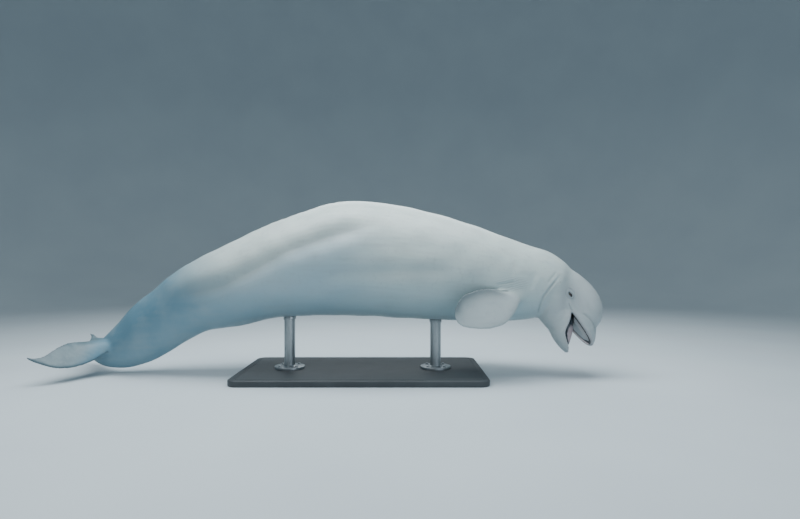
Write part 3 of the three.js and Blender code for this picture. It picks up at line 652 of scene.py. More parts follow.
# The eyes, the ears and the blowhole. Along and up say where a line into the head meets the skin.
eye = {
    "along": -81,
    "up": 52,
    "radius": 19,
    "sunk": 14.5,           # the middle of the ball lies this far under the skin
    "opening": (16.5, 8),   # half its length and half its height
    "lid": {"swell": 4.5, "reach": (27, 20)},
    "rim": {"height": 1.6, "from": 15.5, "width": 3.2, "stretch": 1.5},
    "socket": 16,           # how deep the skin goes in behind the lids
    "near": (60, 40),       # how far from its middle points belong to it: along the skin, and out
    "fine": 46,             # the skin is finer as far round as this
    "bulge": 0.06,          # how much the front of the ball is raised, and over how many degrees
    "bulgeDegrees": 26,
    "forward": 0.12,
}
ear = {
    "along": -172, "up": 40, "radius": 3, "depth": 2.6,
    "rim": 0.8, "rimRadius": 7, "shade": 0.4, "near": (30, 20), "fine": 14,
}
blowhole = {
    "along": -95,
    "width": 36,
    "bow": 13,
    "behind": 4,            # the slit lies this far behind the bow
    "gap": 3.6,
    "depth": 9,
    "lip": {"height": 4.2, "before": 6, "width": 6},
    "plug": {"height": 2.6, "behind": 13, "width": 7},
    "dish": {"depth": 4, "reach": (46, 52)},
    "near": (90, 40),
    "fine": 52,
}
headAxis = Vector(np.array(upperPlace)[:3, 0])


def spotWhere(start, goal):
    # a place on the skin, where a line through the head meets it: along the head, across it, and out
    start, goal = (Vector(placed(p, upperPlace)[0]) for p in (start, goal))
    found, point, normal, _ = skin.ray_cast(start, (goal - start).normalized())
    out = normal.normalized()
    along = (headAxis - headAxis.dot(out) * out).normalized()
    return {"point": point, "out": out, "along": along, "across": out.cross(along)}


def spotsBeside(part):
    along, up = part["along"], part["up"]
    return {side: spotWhere((along, side * 400, up), (along, 0, up)) for side in (-1, 1)}


eyeSpots = spotsBeside(eye)
earSpots = spotsBeside(ear)
blowSpot = spotWhere((blowhole["along"] - 60, 0, 500), (blowhole["along"], 0, 0))


def seenAt(co, place):
    rel = (co - np.array(place["point"])) / mm
    return [rel @ np.array(place[k]) for k in ("along", "across", "out")]


# Finer points on the head and at the flippers' creases, and finer again round eyes, ears and blowhole
neckline = {"lean": 0.3, "at": -250, "blend": 40}  # a slanting plane, where the head begins
crease = {"x": (960, 1120), "z": (515, 565)}


def beforeNeck(here):
    return here[:, 0] + neckline["lean"] * here[:, 2]


def headPart(points):
    return beforeNeck(seenFrom(points, upperPlace)) > neckline["at"]


def facePart(points):
    near = np.zeros(len(points), bool)
    places = [(place, eye) for place in eyeSpots.values()] + [(place, ear) for place in earSpots.values()]
    for place, part in places + [(blowSpot, blowhole)]:
        near |= np.linalg.norm(points - np.array(place["point"]), axis=1) < part["fine"] * mm
    return near


def creasePart(points):
    # the crease behind the root of the flipper is thinner than the faces of the trunk
    x, y, z = (points / mm).T
    (back, front), (low, high) = crease["x"], crease["z"]
    return (x > back) & (x < front) & (np.abs(y) > 150) & (z > low) & (z < high)


refine(skin, creasePart)
refine(skin, headPart)
relax(skin, headPart(pointsOf(skin)).astype(float), 3, backward=holdVolume)
refine(skin, facePart)
say(f"head refined, {len(skin.data.vertices)} points")

# Folds are runs of points with a depth and a width in mm; swell lifts the skin on both sides of it, and shade
# is how much painted shade lies along it.
hollow = {
    "run": [
        (420, 960), (244, 908), (43, 858), (-191, 776),
        (-401, 664), (-600, 566), (-860, 505), (-1080, 430),
    ],
    "below": 70,      # the painted shade on the flank comes in over this much under the hollow
}
headFolds = [
    # the fold between cheek and neck, and the lesser one behind it
    {"run": [(-208, 70), (-196, 22), (-181, -38), (-163, -97), (-135, -136), (-100, -160)],
     "depth": 4.5, "width": 7, "swell": 1.0, "shade": 0.42, "fades": (0.35, 0.08)},
    {"run": [(-236, 62), (-226, 28), (-218, -8), (-208, -40)],
     "depth": 1.4, "width": 9, "swell": 0.4, "shade": 0.09},
    # the line that runs back from the corner of the mouth, and the soft fold over it
    {"run": [(8, 2), (-14, 3), (-34, 8), (-52, 15)], "depth": 3.4, "width": 5, "swell": 1.6, "shade": 0.45},
    {"run": [(40, 30), (4, 30), (-26, 36), (-58, 34)], "depth": 1.6, "width": 11, "swell": 0.8, "shade": 0.1},
    # between the melon and the upper lips
    {"run": [(206, 44), (176, 62), (140, 70), (100, 66), (64, 52), (36, 36)],
     "depth": 3, "width": 9, "swell": 2.2, "shade": 0.3},
    # over and under the eye
    {"run": [(-124, 64), (-104, 80), (-82, 85), (-58, 76)],
     "depth": 2, "width": 5, "swell": 0.9, "shade": 0.25},
    {"run": [(-116, 40), (-96, 29), (-74, 27), (-54, 36)],
     "depth": 1.6, "width": 5, "swell": 0.7, "shade": 0.2},
]
jawFolds = [
    {"run": [(6, -34), (34, -46), (66, -52)], "depth": 2.0, "width": 10, "swell": 1, "shade": 0},
]
bodyFolds = [
    # the long hollow between the back and the flank
    {"run": hollow["run"], "depth": 14, "width": 52, "swell": 8, "shade": 0.34},
    # the lesser one along the middle of the side
    {"run": [(-80, 606), (100, 640), (380, 652), (620, 656), (800, 650)],
     "depth": 5, "width": 40, "swell": 3, "shade": 0.13},
    # the fold over the root of the flipper, and the crease behind it, darkened with painted shadow
    {"run": [(1000, 572), (1060, 577), (1130, 592)], "depth": 1.6, "width": 7, "swell": 0.9, "shade": 0.12},
    {"run": [(982, 543), (1034, 536), (1098, 534)], "depth": 4.5, "width": 3.6, "swell": 0.4, "shade": 1.0},
    # soft rolls on the side of the neck
    {"run": [(1262, 650), (1236, 590), (1222, 530)], "depth": 2.2, "width": 24, "swell": 1.5, "shade": 0},
    {"run": [(1150, 720), (1120, 660), (1104, 610)], "depth": 1.8, "width": 26, "swell": 1.2, "shade": 0},
]


def foldShare(share, fold):
    start, end = fold.get("fades", (0.22, 0.22))
    return rampUp(share, 0, start) * rampUp(1 - share, 0, end)


def foldDepth(flat, fold):
    distance, share = alongRun(flat, fold["run"])
    fade = foldShare(share, fold)
    groove = -fold["depth"] * bell(distance, fold["width"])
    edge = fold["swell"] * bell(distance - 1.7 * fold["width"], 1.3 * fold["width"])
    return (groove + edge) * fade


# The low ridge on the back in place of a fin, and the shallow trough on each side of it
ridge = {
    "from": 200,
    "to": -560,
    "height": 5,
    "halfWidth": 16,
    "roundness": 0.8,
    "notch": 0.8,
    "spacing": 60,
    "troughDepth": 6,
    "troughWidth": 26,
}
blubber = {"height": 1.7, "length": (310, 190, 240)}
# On the middle of the belly; a pair of ends is two pairs of places to fade over
navel = {"at": -20, "reach": (16, 9), "depth": 7}
slit = {"ends": ((-600, -560), (-440, -400)), "halfWidth": 5, "depth": 7}
slitLips = {"ends": ((-640, -560), (-440, -360)), "aside": 20, "halfWidth": 14, "height": 4}
lips = {"height": 2.4, "width": 7, "upper": 7, "lower": -8, "ends": ((0, 40), (225, 250))}


def onTrunk(co, here):
    onHead = rampUp(beforeNeck(here), neckline["at"] - neckline["blend"], neckline["at"])
    return (1 - onHead) * (1 - flipperShare(co))


def onSide(normals):
    return rampUp(np.abs(normals[:, 1]), 0.15, 0.45)


def sculptBody():
    co = pointsOf(skin)
    normals = normalsOf(skin)
    x, y, z = (co / mm).T
    here = seenFrom(co, upperPlace)
    low = seenFrom(co, lowerPlace)
    outside = 1 - insideMouth(co, here)
    push = np.zeros(len(co))
    trunk = onTrunk(co, here) * rampUp(x, -1420, -1250)
    flanks = onSide(normals) * trunk
    for fold in bodyFolds:
        push += foldDepth(np.stack([x, z], 1), fold) * flanks
    share = np.clip((x - ridge["to"]) / (ridge["from"] - ridge["to"]), 0, 1)
    rise = np.sin(math.pi * share ** ridge["roundness"]) ** ridge["roundness"]
    bumps = ridge["notch"] * np.cos(2 * math.pi * x / ridge["spacing"]) * rise
    onTop = rampUp(normals[:, 2], 0.3, 0.7)
    push += (ridge["height"] * rise + bumps) * bell(y, ridge["halfWidth"]) * onTop
    beside = bell(np.abs(y) - 3 * ridge["halfWidth"], ridge["troughWidth"])
    push -= ridge["troughDepth"] * rise * beside * onTop
    # the unevenness of blubber under the skin: long waves that cross each other
    a, b, c = blubber["length"]
    wave = np.sin(x / a * 6.3 + z / b * 4) * np.cos(y / c * 5 + x / b * 2.6)
    wave += 0.6 * np.sin(z / a * 9 - x / c * 5)
    push += blubber["height"] * wave * trunk
    below = rampUp(-normals[:, 2], 0.5, 0.8)
    push -= navel["depth"] * bell(x - navel["at"], navel["reach"][0]) * bell(y, navel["reach"][1]) * below
    push -= slit["depth"] * between(x, *slit["ends"]) * bell(y, slit["halfWidth"]) * below
    aside = bell(np.abs(y) - slitLips["aside"], slitLips["halfWidth"])
    push += slitLips["height"] * between(x, *slitLips["ends"]) * aside * below
    for folds, local in ((headFolds, here), (jawFolds, low)):
        away = rampUp(np.abs(local[:, 1]), 12, 40)
        for fold in folds:
            push += foldDepth(local[:, [0, 2]], fold) * away * outside
    # a rounded rim runs along the lips of both jaws
    upperRim = bell(here[:, 2] - lips["upper"], lips["width"]) * between(here[:, 0], *lips["ends"])
    lowerRim = bell(overLips(low) - lips["lower"], lips["width"]) * rampUp(low[:, 0], 10, 50)
    push += lips["height"] * np.maximum(upperRim, lowerRim) * outside
    co += normals * (push * mm)[:, None]
    movePoints(skin, co)


# The lining of the mouth is what lies on the hollows that were cut out of the head
lining = {"back": -130, "top": 40, "reach": 8, "fade": (2.2, 5.5)}


def insideMouth(co, here):
    # 1 on the lining, 0 outside
    gap = np.full(len(co), 1.0)
    for i in np.nonzero((here[:, 0] > lining["back"]) & (here[:, 2] < lining["top"]))[0]:
        found = hollowsTree.find_nearest(Vector(co[i]), lining["reach"] * mm)[3]
        if found is not None:
            gap[i] = found
    return 1 - rampUp(gap / mm, *lining["fade"])


# The palate is a low pad between two grooves that the teeth stand in
palate = {"pad": 20, "slope": (26, 46), "ends": ((10, 60), (165, 212)), "under": 30}


def halfWidthAt(along, stations):
    return np.interp(along, *np.array([(s[0][0], s[2]) for s in stations]).T)


def insideWalls(here):
    # how far points lie in from the side walls of the vault
    return halfWidthAt(here[:, 0], mouth["vault"]) - np.abs(here[:, 1])


def sculptPalate():
    co = pointsOf(skin)
    here = seenFrom(co, upperPlace)
    rise = rampUp(insideWalls(here), *palate["slope"]) * between(here[:, 0], *palate["ends"])
    ceiling = rampUp(here[:, 2], 2, 8) * insideMouth(co, here) * (here[:, 2] < palate["under"])
    here[:, 2] -= palate["pad"] * rise * ceiling
    movePoints(skin, placed(here, upperPlace))


def pushOut(co, place, part, amount):
    u, v, w = seenAt(co, place)
    near = (np.hypot(u, v) < part["near"][0]) & (np.abs(w) < part["near"][1])
    co += np.array(place["out"])[None] * (np.where(near, amount, 0) * mm)[:, None]


def sculptEyes():
    co = pointsOf(skin)
    lid, rim = eye["lid"], eye["rim"]
    for side, place in eyeSpots.items():
        u, v, w = seenAt(co, place)
        v = v * side  # up the head on both sides
        halfLength, halfHeight = eye["opening"]
        swell = lid["swell"] * bell(u, lid["reach"][0]) * bell(v, lid["reach"][1])
        swell += rim["height"] * bell(np.hypot(u / rim["stretch"], v) - rim["from"], rim["width"])
        lidLine = halfHeight * np.sqrt(np.clip(1 - (u / halfLength) ** 2, 0, 1))
        opened = rampUp(lidLine - np.abs(v), -1.0, 1.6) * (np.abs(u) < halfLength)
        pushOut(co, place, eye, swell - eye["socket"] * opened)
    for place in earSpots.values():
        u, v, w = seenAt(co, place)
        off = np.hypot(u, v)
        dent = -ear["depth"] * bell(off, ear["radius"] * 0.6) + ear["rim"] * bell(off - ear["rimRadius"], 3)
        pushOut(co, place, ear, dent)
    movePoints(skin, co)


def blowholeBow(v):
    return blowhole["bow"] * (1 - (v / blowhole["width"]) ** 2)


def sculptBlowhole():
    co = pointsOf(skin)
    u, v, w = seenAt(co, blowSpot)
    lip, plug, dish = blowhole["lip"], blowhole["plug"], blowhole["dish"]
    bow = blowholeBow(v)
    across = rampUp(blowhole["width"] - np.abs(v), 0, 10)
    push = -blowhole["depth"] * bell(u - bow + blowhole["behind"], blowhole["gap"]) * across
    push += lip["height"] * bell(u - bow - lip["before"], lip["width"]) * across
    push += plug["height"] * bell(u - bow + plug["behind"], plug["width"]) * across
    push -= dish["depth"] * bell(u, dish["reach"][0]) * bell(v, dish["reach"][1])
    pushOut(co, blowSpot, blowhole, push)
    movePoints(skin, co)


sculptBody()
sculptPalate()
sculptEyes()
sculptBlowhole()
relax(skin, everywhere(skin), 1)
say("folds, lids, lips, ears and blowhole modelled")

# Fewer points where the skin is plain: first the trunk, then the head
budget = {"head": 82000, "trunk": 100000}  # triangles


def thin(part, wanted):
    triangles = valuesOf(skin.data.polygons, "loop_total", int) - 2
    excess = triangles[part(middlesOf(skin))].sum() - wanted
    if excess <= 0:
        return
    group = skin.vertex_groups.new(name="thin")
    chosen = np.nonzero(part(pointsOf(skin)))[0]
    group.add(chosen.tolist(), 1.0, "REPLACE")
    finishWith(
        skin, "DECIMATE", ratio=1 - excess / triangles.sum(), vertex_group="thin",
        vertex_group_factor=1.0, use_collapse_triangulate=True,
    )
    skin.vertex_groups.clear()


thin(lambda p: ~(headPart(p) | creasePart(p)), budget["trunk"])
thin(headPart, budget["head"])
say(f"skin thinned to {len(skin.data.polygons)} faces")
shadeSmooth(skin)


# Shades of the skin, most of them painted shade, kept with its points for the material to read
def keepShade(piece, name, values):
    layer = piece.data.attributes.new(name, "FLOAT", "POINT")
    layer.data.foreach_set("value", np.ascontiguousarray(values, dtype=float))


# Where the shades lie, in mm, most of them painted shade; two pairs are the places that a shade fades over at
# its ends
shades = {
    "tailwardPaintedShade": (380, 1050),
    "flankPaintedShade": ((-1480, -1400), (-60, 480)),
    "fluke": (-1500, -1390),
    "face": (-260, -60),
    "eyeFold": 14,
    "socket": 42,
    "throat": (75, 115),
    "groove": ((5, 13), (38, 48)),
    "lip": 9,
}
wrinkles = {"at": (1108, 575), "reach": (118, 52), "spacing": 13, "slope": 12}


def foldPaintedShade(flat, fold, spread):
    distance, share = alongRun(flat, fold["run"])
    return fold["shade"] * bell(distance, fold["width"] * spread) * foldShare(share, fold)


def paintedShadeInFolds(co, normals, here):
    # painted shade in the folds, round the eyes, in the ears and in the blowhole
    x, y, z = (co / mm).T
    trunk = onTrunk(co, here) * onSide(normals)
    shade = np.zeros(len(co))
    for fold in headFolds:
        away = rampUp(np.abs(here[:, 1]), 20, 50)
        shade = np.maximum(shade, foldPaintedShade(here[:, [0, 2]], fold, 0.8) * away)
    for fold in bodyFolds:
        shade = np.maximum(shade, foldPaintedShade(np.stack([x, z], 1), fold, 1) * trunk)
    for place in eyeSpots.values():
        u, v, w = seenAt(co, place)
        dark = bell(np.hypot(u / 1.6, v), shades["eyeFold"]) * (np.abs(w) < eye["near"][1])
        shade = np.maximum(shade, dark)
    for place in earSpots.values():
        u, v, w = seenAt(co, place)
        dark = ear["shade"] * bell(np.hypot(u, v), ear["radius"]) * (np.abs(w) < ear["near"][1])
        shade = np.maximum(shade, dark)
    u, v, w = seenAt(co, blowSpot)
    opened = bell(u - blowholeBow(v) + blowhole["behind"], 4)
    opened *= rampUp(blowhole["width"] - np.abs(v), 0, 8) * (np.abs(w) < blowhole["near"][1])
    return np.maximum(shade, opened)


def shadeSkin():
    co = pointsOf(skin)
    normals = normalsOf(skin)
    x, y, z = (co / mm).T
    here = seenFrom(co, upperPlace)
    low = seenFrom(co, lowerPlace)
    inMouth = insideMouth(co, here)
    onFlipper = flipperShare(co)
    keepShade(skin, "mouthLining", inMouth)
    # painted shade: darker and bluer down and back from the top of the back, toward the tail
    keepShade(skin, "tailwardPaintedShade", rampUp(-0.85 * x - 0.9 * (z - 700), *shades["tailwardPaintedShade"]))
    # painted shade down the flank, under the long hollow
    line = np.interp(x, *np.array(sorted(hollow["run"])).T)
    keepShade(skin, "flankPaintedShade", rampUp(line + 10 - z, -20, hollow["below"]) * between(x, *shades["flankPaintedShade"]))
    # painted shade: the flukes darkened against the light that falls on them from above
    keepShade(skin, "fluke", rampDown(x, *shades["fluke"]))
    # painted shade over the flippers, which face the light
    keepShade(skin, "flipper", onFlipper)
    off = [(v - at) / reach for v, at, reach in zip((x, z), wrinkles["at"], wrinkles["reach"])]
    keepShade(skin, "wrinkled", rampDown(np.hypot(*off), 0.5, 1.1) * rampUp(np.abs(y), 120, 170))
    # painted shade on the skin that faces down
    keepShade(skin, "under", rampDown(normals[:, 2], -0.85, 0.25) * (1 - inMouth))
    # painted shade in the folds and hollows
    keepShade(skin, "fold", paintedShadeInFolds(co, normals, here) * (1 - inMouth))
    # painted shade round the sockets of the eyes
    socket = np.zeros(len(co))
    for place in eyeSpots.values():
        u, v, w = seenAt(co, place)
        socket = np.maximum(socket, bell(np.hypot(u / 1.3, v), shades["socket"]) * (np.abs(w) < 60))
    keepShade(skin, "socket", socket * (1 - inMouth))
    # painted shade in the lining, darkest in the grooves beside the palate, the bottom of the lower jaw and
    # the throat
    groove = between(insideWalls(here), *shades["groove"]) * rampUp(here[:, 2], -12, -6)
    trough = rampDown(overLips(low), -16, -4) * rampDown(here[:, 2], -20, -5)
    throat = rampDown(here[:, 0], *shades["throat"])
    keepShade(skin, "deep", np.maximum(np.maximum(groove, trough), throat) * inMouth)
    keepShade(skin, "edge", rimTintAndPaintedShade(co) * np.maximum(onFlipper, x < -1300))
    upperLip = bell(here[:, 2] - 2, shades["lip"]) * rampUp(here[:, 0], -10, 30)
    lowerLip = bell(overLips(low), shades["lip"]) * rampUp(low[:, 0], -5, 30)
    keepShade(skin, "lip", np.maximum(upperLip, lowerLip) * (1 - inMouth))
    keepShade(skin, "face", rampUp(beforeNeck(here), *shades["face"]) * (1 - inMouth))


# Darker rims along the edges of the flukes and of the flippers: the hide's own dark edges, darkened further
# with painted shade where the rounded rims face the light, and a broad band of painted shade by the flipper's
# rear edge. The columns of a station are the front edge's x, y, z and then the rear edge's, so a rim starts
# at column 0 or 3; then its width in mm and shade.
rims = {
    "from": 0.22,  # the share of the span where they begin
    "reach": 420,  # no point of a rim is farther than this from its middle, in mm
    "fluke": ((0, 10, 0.9), (3, 10, 1.0)),
    # the broad flipper rim is a band of painted shade by the rear edge
    "flipper": ((0, 8, 0.25), (3, 10, 1.0), (3, 46, 0.7)),
}


def rimTintAndPaintedShade(co):
    shade = np.zeros(len(co))
    for blade, place, parts in ((fluke, flukePlace, rims["fluke"]), (flipper, bodyPlace, rims["flipper"])):
        rows = [(*s[0], *s[1]) for s in blade["stations"]]
        run = smoothRun(rows, np.linspace(rims["from"], 1, 80))
        for side in (1, -1):
            for first, width, strength in parts:
                line = placed(run[:, first:first + 3] * (1, side, 1), place)
                near = np.nonzero(np.linalg.norm(co - line.mean(axis=0), axis=1) < rims["reach"] * mm)[0]
                gaps = np.linalg.norm(co[near][:, None] - line[None], axis=2).min(axis=1) / mm
                shade[near] = np.maximum(shade[near], strength * bell(gaps, width))
    return shade


shadeSkin()

# Eyes: a ball with a raised front, turned to look out and a little forward
def makeEye(name, side):
    place = eyeSpots[side]
    dropSelection()
    bpy.ops.mesh.primitive_uv_sphere_add(segments=48, ring_count=32, radius=1)
    ball = bpy.context.object
    ball.name = name
    local = pointsOf(ball)
    angle = np.degrees(np.arccos(np.clip(local[:, 2], -1, 1)))
    bulge = 1 + eye["bulge"] * bell(angle, eye["bulgeDegrees"])
    keepShade(ball, "fromPupil", angle)
    out = (place["out"] + eye["forward"] * place["along"]).normalized()
    along = (place["along"] - place["along"].dot(out) * out).normalized()
    axes = np.array([along, out.cross(along), out])
    centre = np.array(place["point"]) - np.array(place["out"]) * eye["sunk"] * mm
    movePoints(ball, centre + (local * (eye["radius"] * bulge * mm)[:, None]) @ axes)
    return shadeSmooth(ball)


eyeRight = makeEye("eye_right_ball", -1)
eyeLeft = makeEye("eye_left_ball", 1)

# Tongue: broad at the root, cupped along its middle, lying in the lower jaw
tongue = {
    "stations": [
        ((-75, 16), (-70, -52), 42),
        ((-20, 31), (-20, -54), 55),
        ((45, 34), (45, -54), 57),
        ((100, 29), (100, -50), 50),
        ((145, 17), (145, -39), 38),
        ((178, 5), (177, -27), 25),
    ],
    "tip": (194, -9),
    "groove": 5,
    "grooveWidth": 11,
    "frill": 1.4,      # the wavy rim, and how wide it is
    "frillWidth": 12,
    "darkSlope": 0.34,
}


def makeTongue():
    piece = headForm("whale_tongue", tongue["stations"], lowerPlace, tongue["tip"], sides=56, steps=70)
    low = seenFrom(pointsOf(piece), lowerPlace)
    top = rampUp(low[:, 2], -10, 12)
    fade = between(low[:, 0], (-60, 0), (150, 192))
    low[:, 2] -= tongue["groove"] * bell(low[:, 1], tongue["grooveWidth"]) * top * fade
    rim = bell(np.abs(low[:, 1]) - halfWidthAt(low[:, 0], tongue["stations"]), tongue["frillWidth"])
    low[:, 2] += tongue["frill"] * np.sin(low[:, 0] / 4.2) * rim * rampUp(low[:, 0], 60, 120)
    movePoints(piece, placed(low, lowerPlace))
    finishWith(piece, "SUBSURF", levels=1, render_levels=1)
    # painted shade below a line that rises inward from the lips, and back in the throat
    low = seenFrom(pointsOf(piece), lowerPlace)
    inward = halfWidthAt(low[:, 0], mouth["trough"]) + 8 - np.abs(low[:, 1])
    sunk = rampUp(tongue["darkSlope"] * inward + 12 - overLips(low), -3, 4)
    keepShade(piece, "deep", np.maximum(sunk, rampDown(low[:, 0], 60, 95)))
    return shadeSmooth(piece)


tonguePiece = makeTongue()

# Teeth: short worn pegs, one modelled and the rest copied with their own meshes
teeth = {
    "perSide": 8,
    "radius": 4.2,
    "height": 9,
    "tall": (0.75, 0.3, 0.06),  # of that: the least, more in the middle of the row, and unevenness
    "root": 9,
    "bevel": 1.9,
    "narrowing": 0.3,
    "slant": 0.09,        # they are worn a little slanting
    "first": 45,
    "last": 204,
    "insideLip": 26,
    "closerAhead": 0.25,  # the share of that which is lost towards the tip
    "leanIn": 0.12,
    "upperGum": 12.5,
    "underLip": 6,        # the lower gum lies this far under the lips
}


def addCylinder(sides, radius, high, at=(0, 0, 0), **settings):
    dropSelection()
    bpy.ops.mesh.primitive_cylinder_add(vertices=sides, radius=radius, depth=high, location=at, **settings)
    return bpy.context.object


def copyOf(piece):
    copy = piece.copy()
    copy.data = piece.data.copy()
    bpy.context.collection.objects.link(copy)
    return copy


def makePeg():
    peg = addCylinder(14, teeth["radius"], teeth["height"] + teeth["root"])
    with editing(peg):
        bpy.ops.mesh.bevel(offset=teeth["bevel"], segments=3, affect="EDGES")
    co = pointsOf(peg)
    co[:, 2] += (teeth["height"] - teeth["root"]) / 2
    high = rampUp(co[:, 2], 0, teeth["height"])
    co[:, :2] *= (1 - teeth["narrowing"] * high)[:, None]
    co[:, 2] += teeth["slant"] * co[:, 0] * high
    movePoints(peg, co)
    return peg


def makeTeeth():
    model = makePeg()
    shape = pointsOf(model)
    pegs = []
    least, more, uneven = teeth["tall"]
    for jaw, place, pointsUp in ((skull, upperPlace, False), (lowerJaw, lowerPlace, True)):
        for i in range(teeth["perSide"]):
            share = i / (teeth["perSide"] - 1)
            along = teeth["first"] + (teeth["last"] - teeth["first"]) * share
            inset = teeth["insideLip"] * (1 - teeth["closerAhead"] * share)
            across = halfWidthAt(along, jaw["stations"]) - inset
            gum = lipHeightAt(along) - teeth["underLip"] if pointsUp else teeth["upperGum"]
            tall = least + more * math.sin(math.pi * share) + uneven * math.cos(5 * i)
            for side in (-1, 1):
                local = shape * (1, 1, tall)
                if not pointsUp:
                    local = local * (1, -1, -1)
                lean = side * (-teeth["leanIn"] if pointsUp else teeth["leanIn"])
                turn = np.array(Matrix.Rotation(lean, 3, "X"))
                peg = copyOf(model)
                movePoints(peg, placed(local @ turn.T + (along, side * across, gum), place))
                pegs.append(peg)
    bpy.data.objects.remove(model)
    piece = joinAs("whale_teeth", pegs)
    faceOutward(piece)
    return shadeSmooth(piece)


teethPiece = makeTeeth()
say("eyes, tongue and teeth made")

# Stand: a low steel slab, with a bolted flange under each of two rods
stand = {
    "x": 190,
    "length": 1500,
    "width": 800,
    "height": 36,
    "corner": 60,
    "bevel": 6,
    "rods": {"rear": -270, "front": 650},
    "rodRadius": 34,
    "flangeRadius": 95,
    "flangeHeight": 14,
    "flangeBevel": 2,
    "boltCircle": 72,
    "boltRadius": 9,
    "boltHeight": 8,
    "boltBevel": 1.2,
    "washer": {"wider": 3, "height": 1.6, "sunk": 1},
    "gap": 0.3,
    # the line round the slab's top: how far in, its sloping sides, its floor and its depth
    "line": {"inset": 30, "side": 1.5, "floor": 5, "depth": 2},
    # a rod's weld at the foot and collar at the top: where it is cut, as shares of its height, and how
    # much wider it is there, from a share up to a share
    "cuts": (0.006, 0.012, 0.93, 0.935, 0.985),
    "wider": ((-1, 0.001, 1.2), (0.001, 0.008, 1.1), (0.932, 0.99, 1.13), (0.99, 2, 1.08)),
    "rodInHide": 1,  # how far a rod goes into the belly
}


def bevelWhere(piece, chosen, offset, segments):
    # rounds the edges whose two end points pass the test
    co = pointsOf(piece)
    bpy.context.tool_settings.mesh_select_mode = (False, True, False)
    pairs = edgesOf(piece)
    edges = np.array([chosen(co[a], co[b]) for a, b in pairs])
    verts = np.zeros(len(co), bool)
    verts[pairs[edges].ravel()] = True
    piece.data.polygons.foreach_set("select", np.zeros(len(piece.data.polygons), bool))
    piece.data.edges.foreach_set("select", edges)
    piece.data.vertices.foreach_set("select", verts)
    with editing(piece, everything=False):
        bpy.ops.mesh.bevel(offset=offset, segments=segments, affect="EDGES")


level = 1e-6  # two points whose heights differ by less than this lie in one plane


def makeBase():
    x, high = (stand["x"] + midShift.x) * mm, stand["height"] * mm
    dropSelection()
    bpy.ops.mesh.primitive_cube_add(size=1, location=(x, 0, high / 2))
    slab = bpy.context.object
    slab.name = "stand_slab"
    slab.scale = (stand["length"] * mm, stand["width"] * mm, high)
    settle(slab)
    bevelWhere(slab, lambda a, b: abs(a[2] - b[2]) > high / 2, stand["corner"] * mm, 12)
    bevelWhere(slab, lambda a, b: abs(a[2] - b[2]) < level, stand["bevel"] * mm, 4)
    # a shallow line runs round the top
    bpy.context.tool_settings.mesh_select_mode = (False, False, True)
    line = stand["line"]
    side, deep = line["side"], line["depth"]
    for inset, rise in ((line["inset"], 0), (side, -deep), (line["floor"], 0), (side, deep)):
        top = max(slab.data.polygons, key=lambda p: p.area * (p.normal.z > 0.9))
        selectFaces(slab, np.arange(len(slab.data.polygons)) == top.index)
        with editing(slab, everything=False):
            bpy.ops.mesh.inset(thickness=inset * mm, depth=rise * mm)
    return shadeSmooth(slab, 35)


def makeRod(where):
    x = (stand["rods"][where] + midShift.x) * mm
    bottom = (stand["height"] + stand["flangeHeight"] + 2 * stand["gap"]) * mm
    rod = addCylinder(64, stand["rodRadius"] * mm, 1, (x, 0, 0.5), end_fill_type="TRIFAN")
    rod.name = f"stand_rod_{where}_tube"
    settle(rod)
    for height in stand["cuts"]:
        with editing(rod):
            bpy.ops.mesh.bisect(plane_co=(x, 0, height), plane_no=(0, 0, 1))
    co = pointsOf(rod)
    belly = np.empty(len(co))
    for i, p in enumerate(co):
        found, point, _, _ = skin.ray_cast(Vector((p[0], p[1], 0.06)), Vector((0, 0, 1)))
        belly[i] = point.z
    share = co[:, 2]
    spread = np.ones(len(co))
    for start, end, wider in stand["wider"]:
        spread[(share > start) & (share < end)] = wider
    co[:, 0] = x + (co[:, 0] - x) * spread
    co[:, 1] *= spread
    co[:, 2] = bottom + share * (belly + stand["rodInHide"] * mm - bottom)
    movePoints(rod, co)
    return shadeSmooth(rod, 40)


def makeBolt():
    radius, high, washer = stand["boltRadius"] * mm, stand["boltHeight"] * mm, stand["washer"]
    bolt = addCylinder(6, radius, high)
    bevelWhere(bolt, lambda a, b: a[2] > 0 and b[2] > 0, stand["boltBevel"] * mm, 2)
    at = (0, 0, -high / 2 + washer["sunk"] * mm)
    ring = addCylinder(32, (stand["boltRadius"] + washer["wider"]) * mm, washer["height"] * mm, at)
    settle(ring)
    return joinAs("bolt", [bolt, ring])


def makeFlange(where):
    x = (stand["rods"][where] + midShift.x) * mm
    bottom = (stand["height"] + stand["gap"]) * mm
    high = stand["flangeHeight"] * mm
    plate = addCylinder(96, stand["flangeRadius"] * mm, high, (x, 0, bottom + high / 2))
    settle(plate)
    middle = bottom + high / 2
    bevelWhere(plate, lambda a, b: abs(a[2] - b[2]) < level and a[2] > middle, stand["flangeBevel"] * mm, 3)
    bolt = makeBolt()
    shape = pointsOf(bolt)
    pieces = [plate]
    circle = stand["boltCircle"] * mm
    for i in range(4):
        angle = math.pi / 4 + i * math.pi / 2
        turn = np.array(Matrix.Rotation(0.4 + 1.3 * i, 3, "Z"))  # no two bolts stand alike
        copy = copyOf(bolt)
        up = bottom + high + stand["boltHeight"] * mm / 2
        movePoints(copy, shape @ turn.T + (x + circle * math.cos(angle), circle * math.sin(angle), up))
        pieces.append(copy)
    bpy.data.objects.remove(bolt)
    return shadeSmooth(joinAs(f"stand_flange_{where}_plate", pieces), 35)


slab = makeBase()
rods = {where: makeRod(where) for where in stand["rods"]}
flanges = {where: makeFlange(where) for where in stand["rods"]}
say("stand made")


# Materials
def linear(hexColour):
    parts = [int(hexColour[i:i + 2], 16) / 255 for i in (1, 3, 5)]
    return tuple(c / 12.92 if c <= 0.04045 else ((c + 0.055) / 1.055) ** 2.4 for c in parts) + (1,)


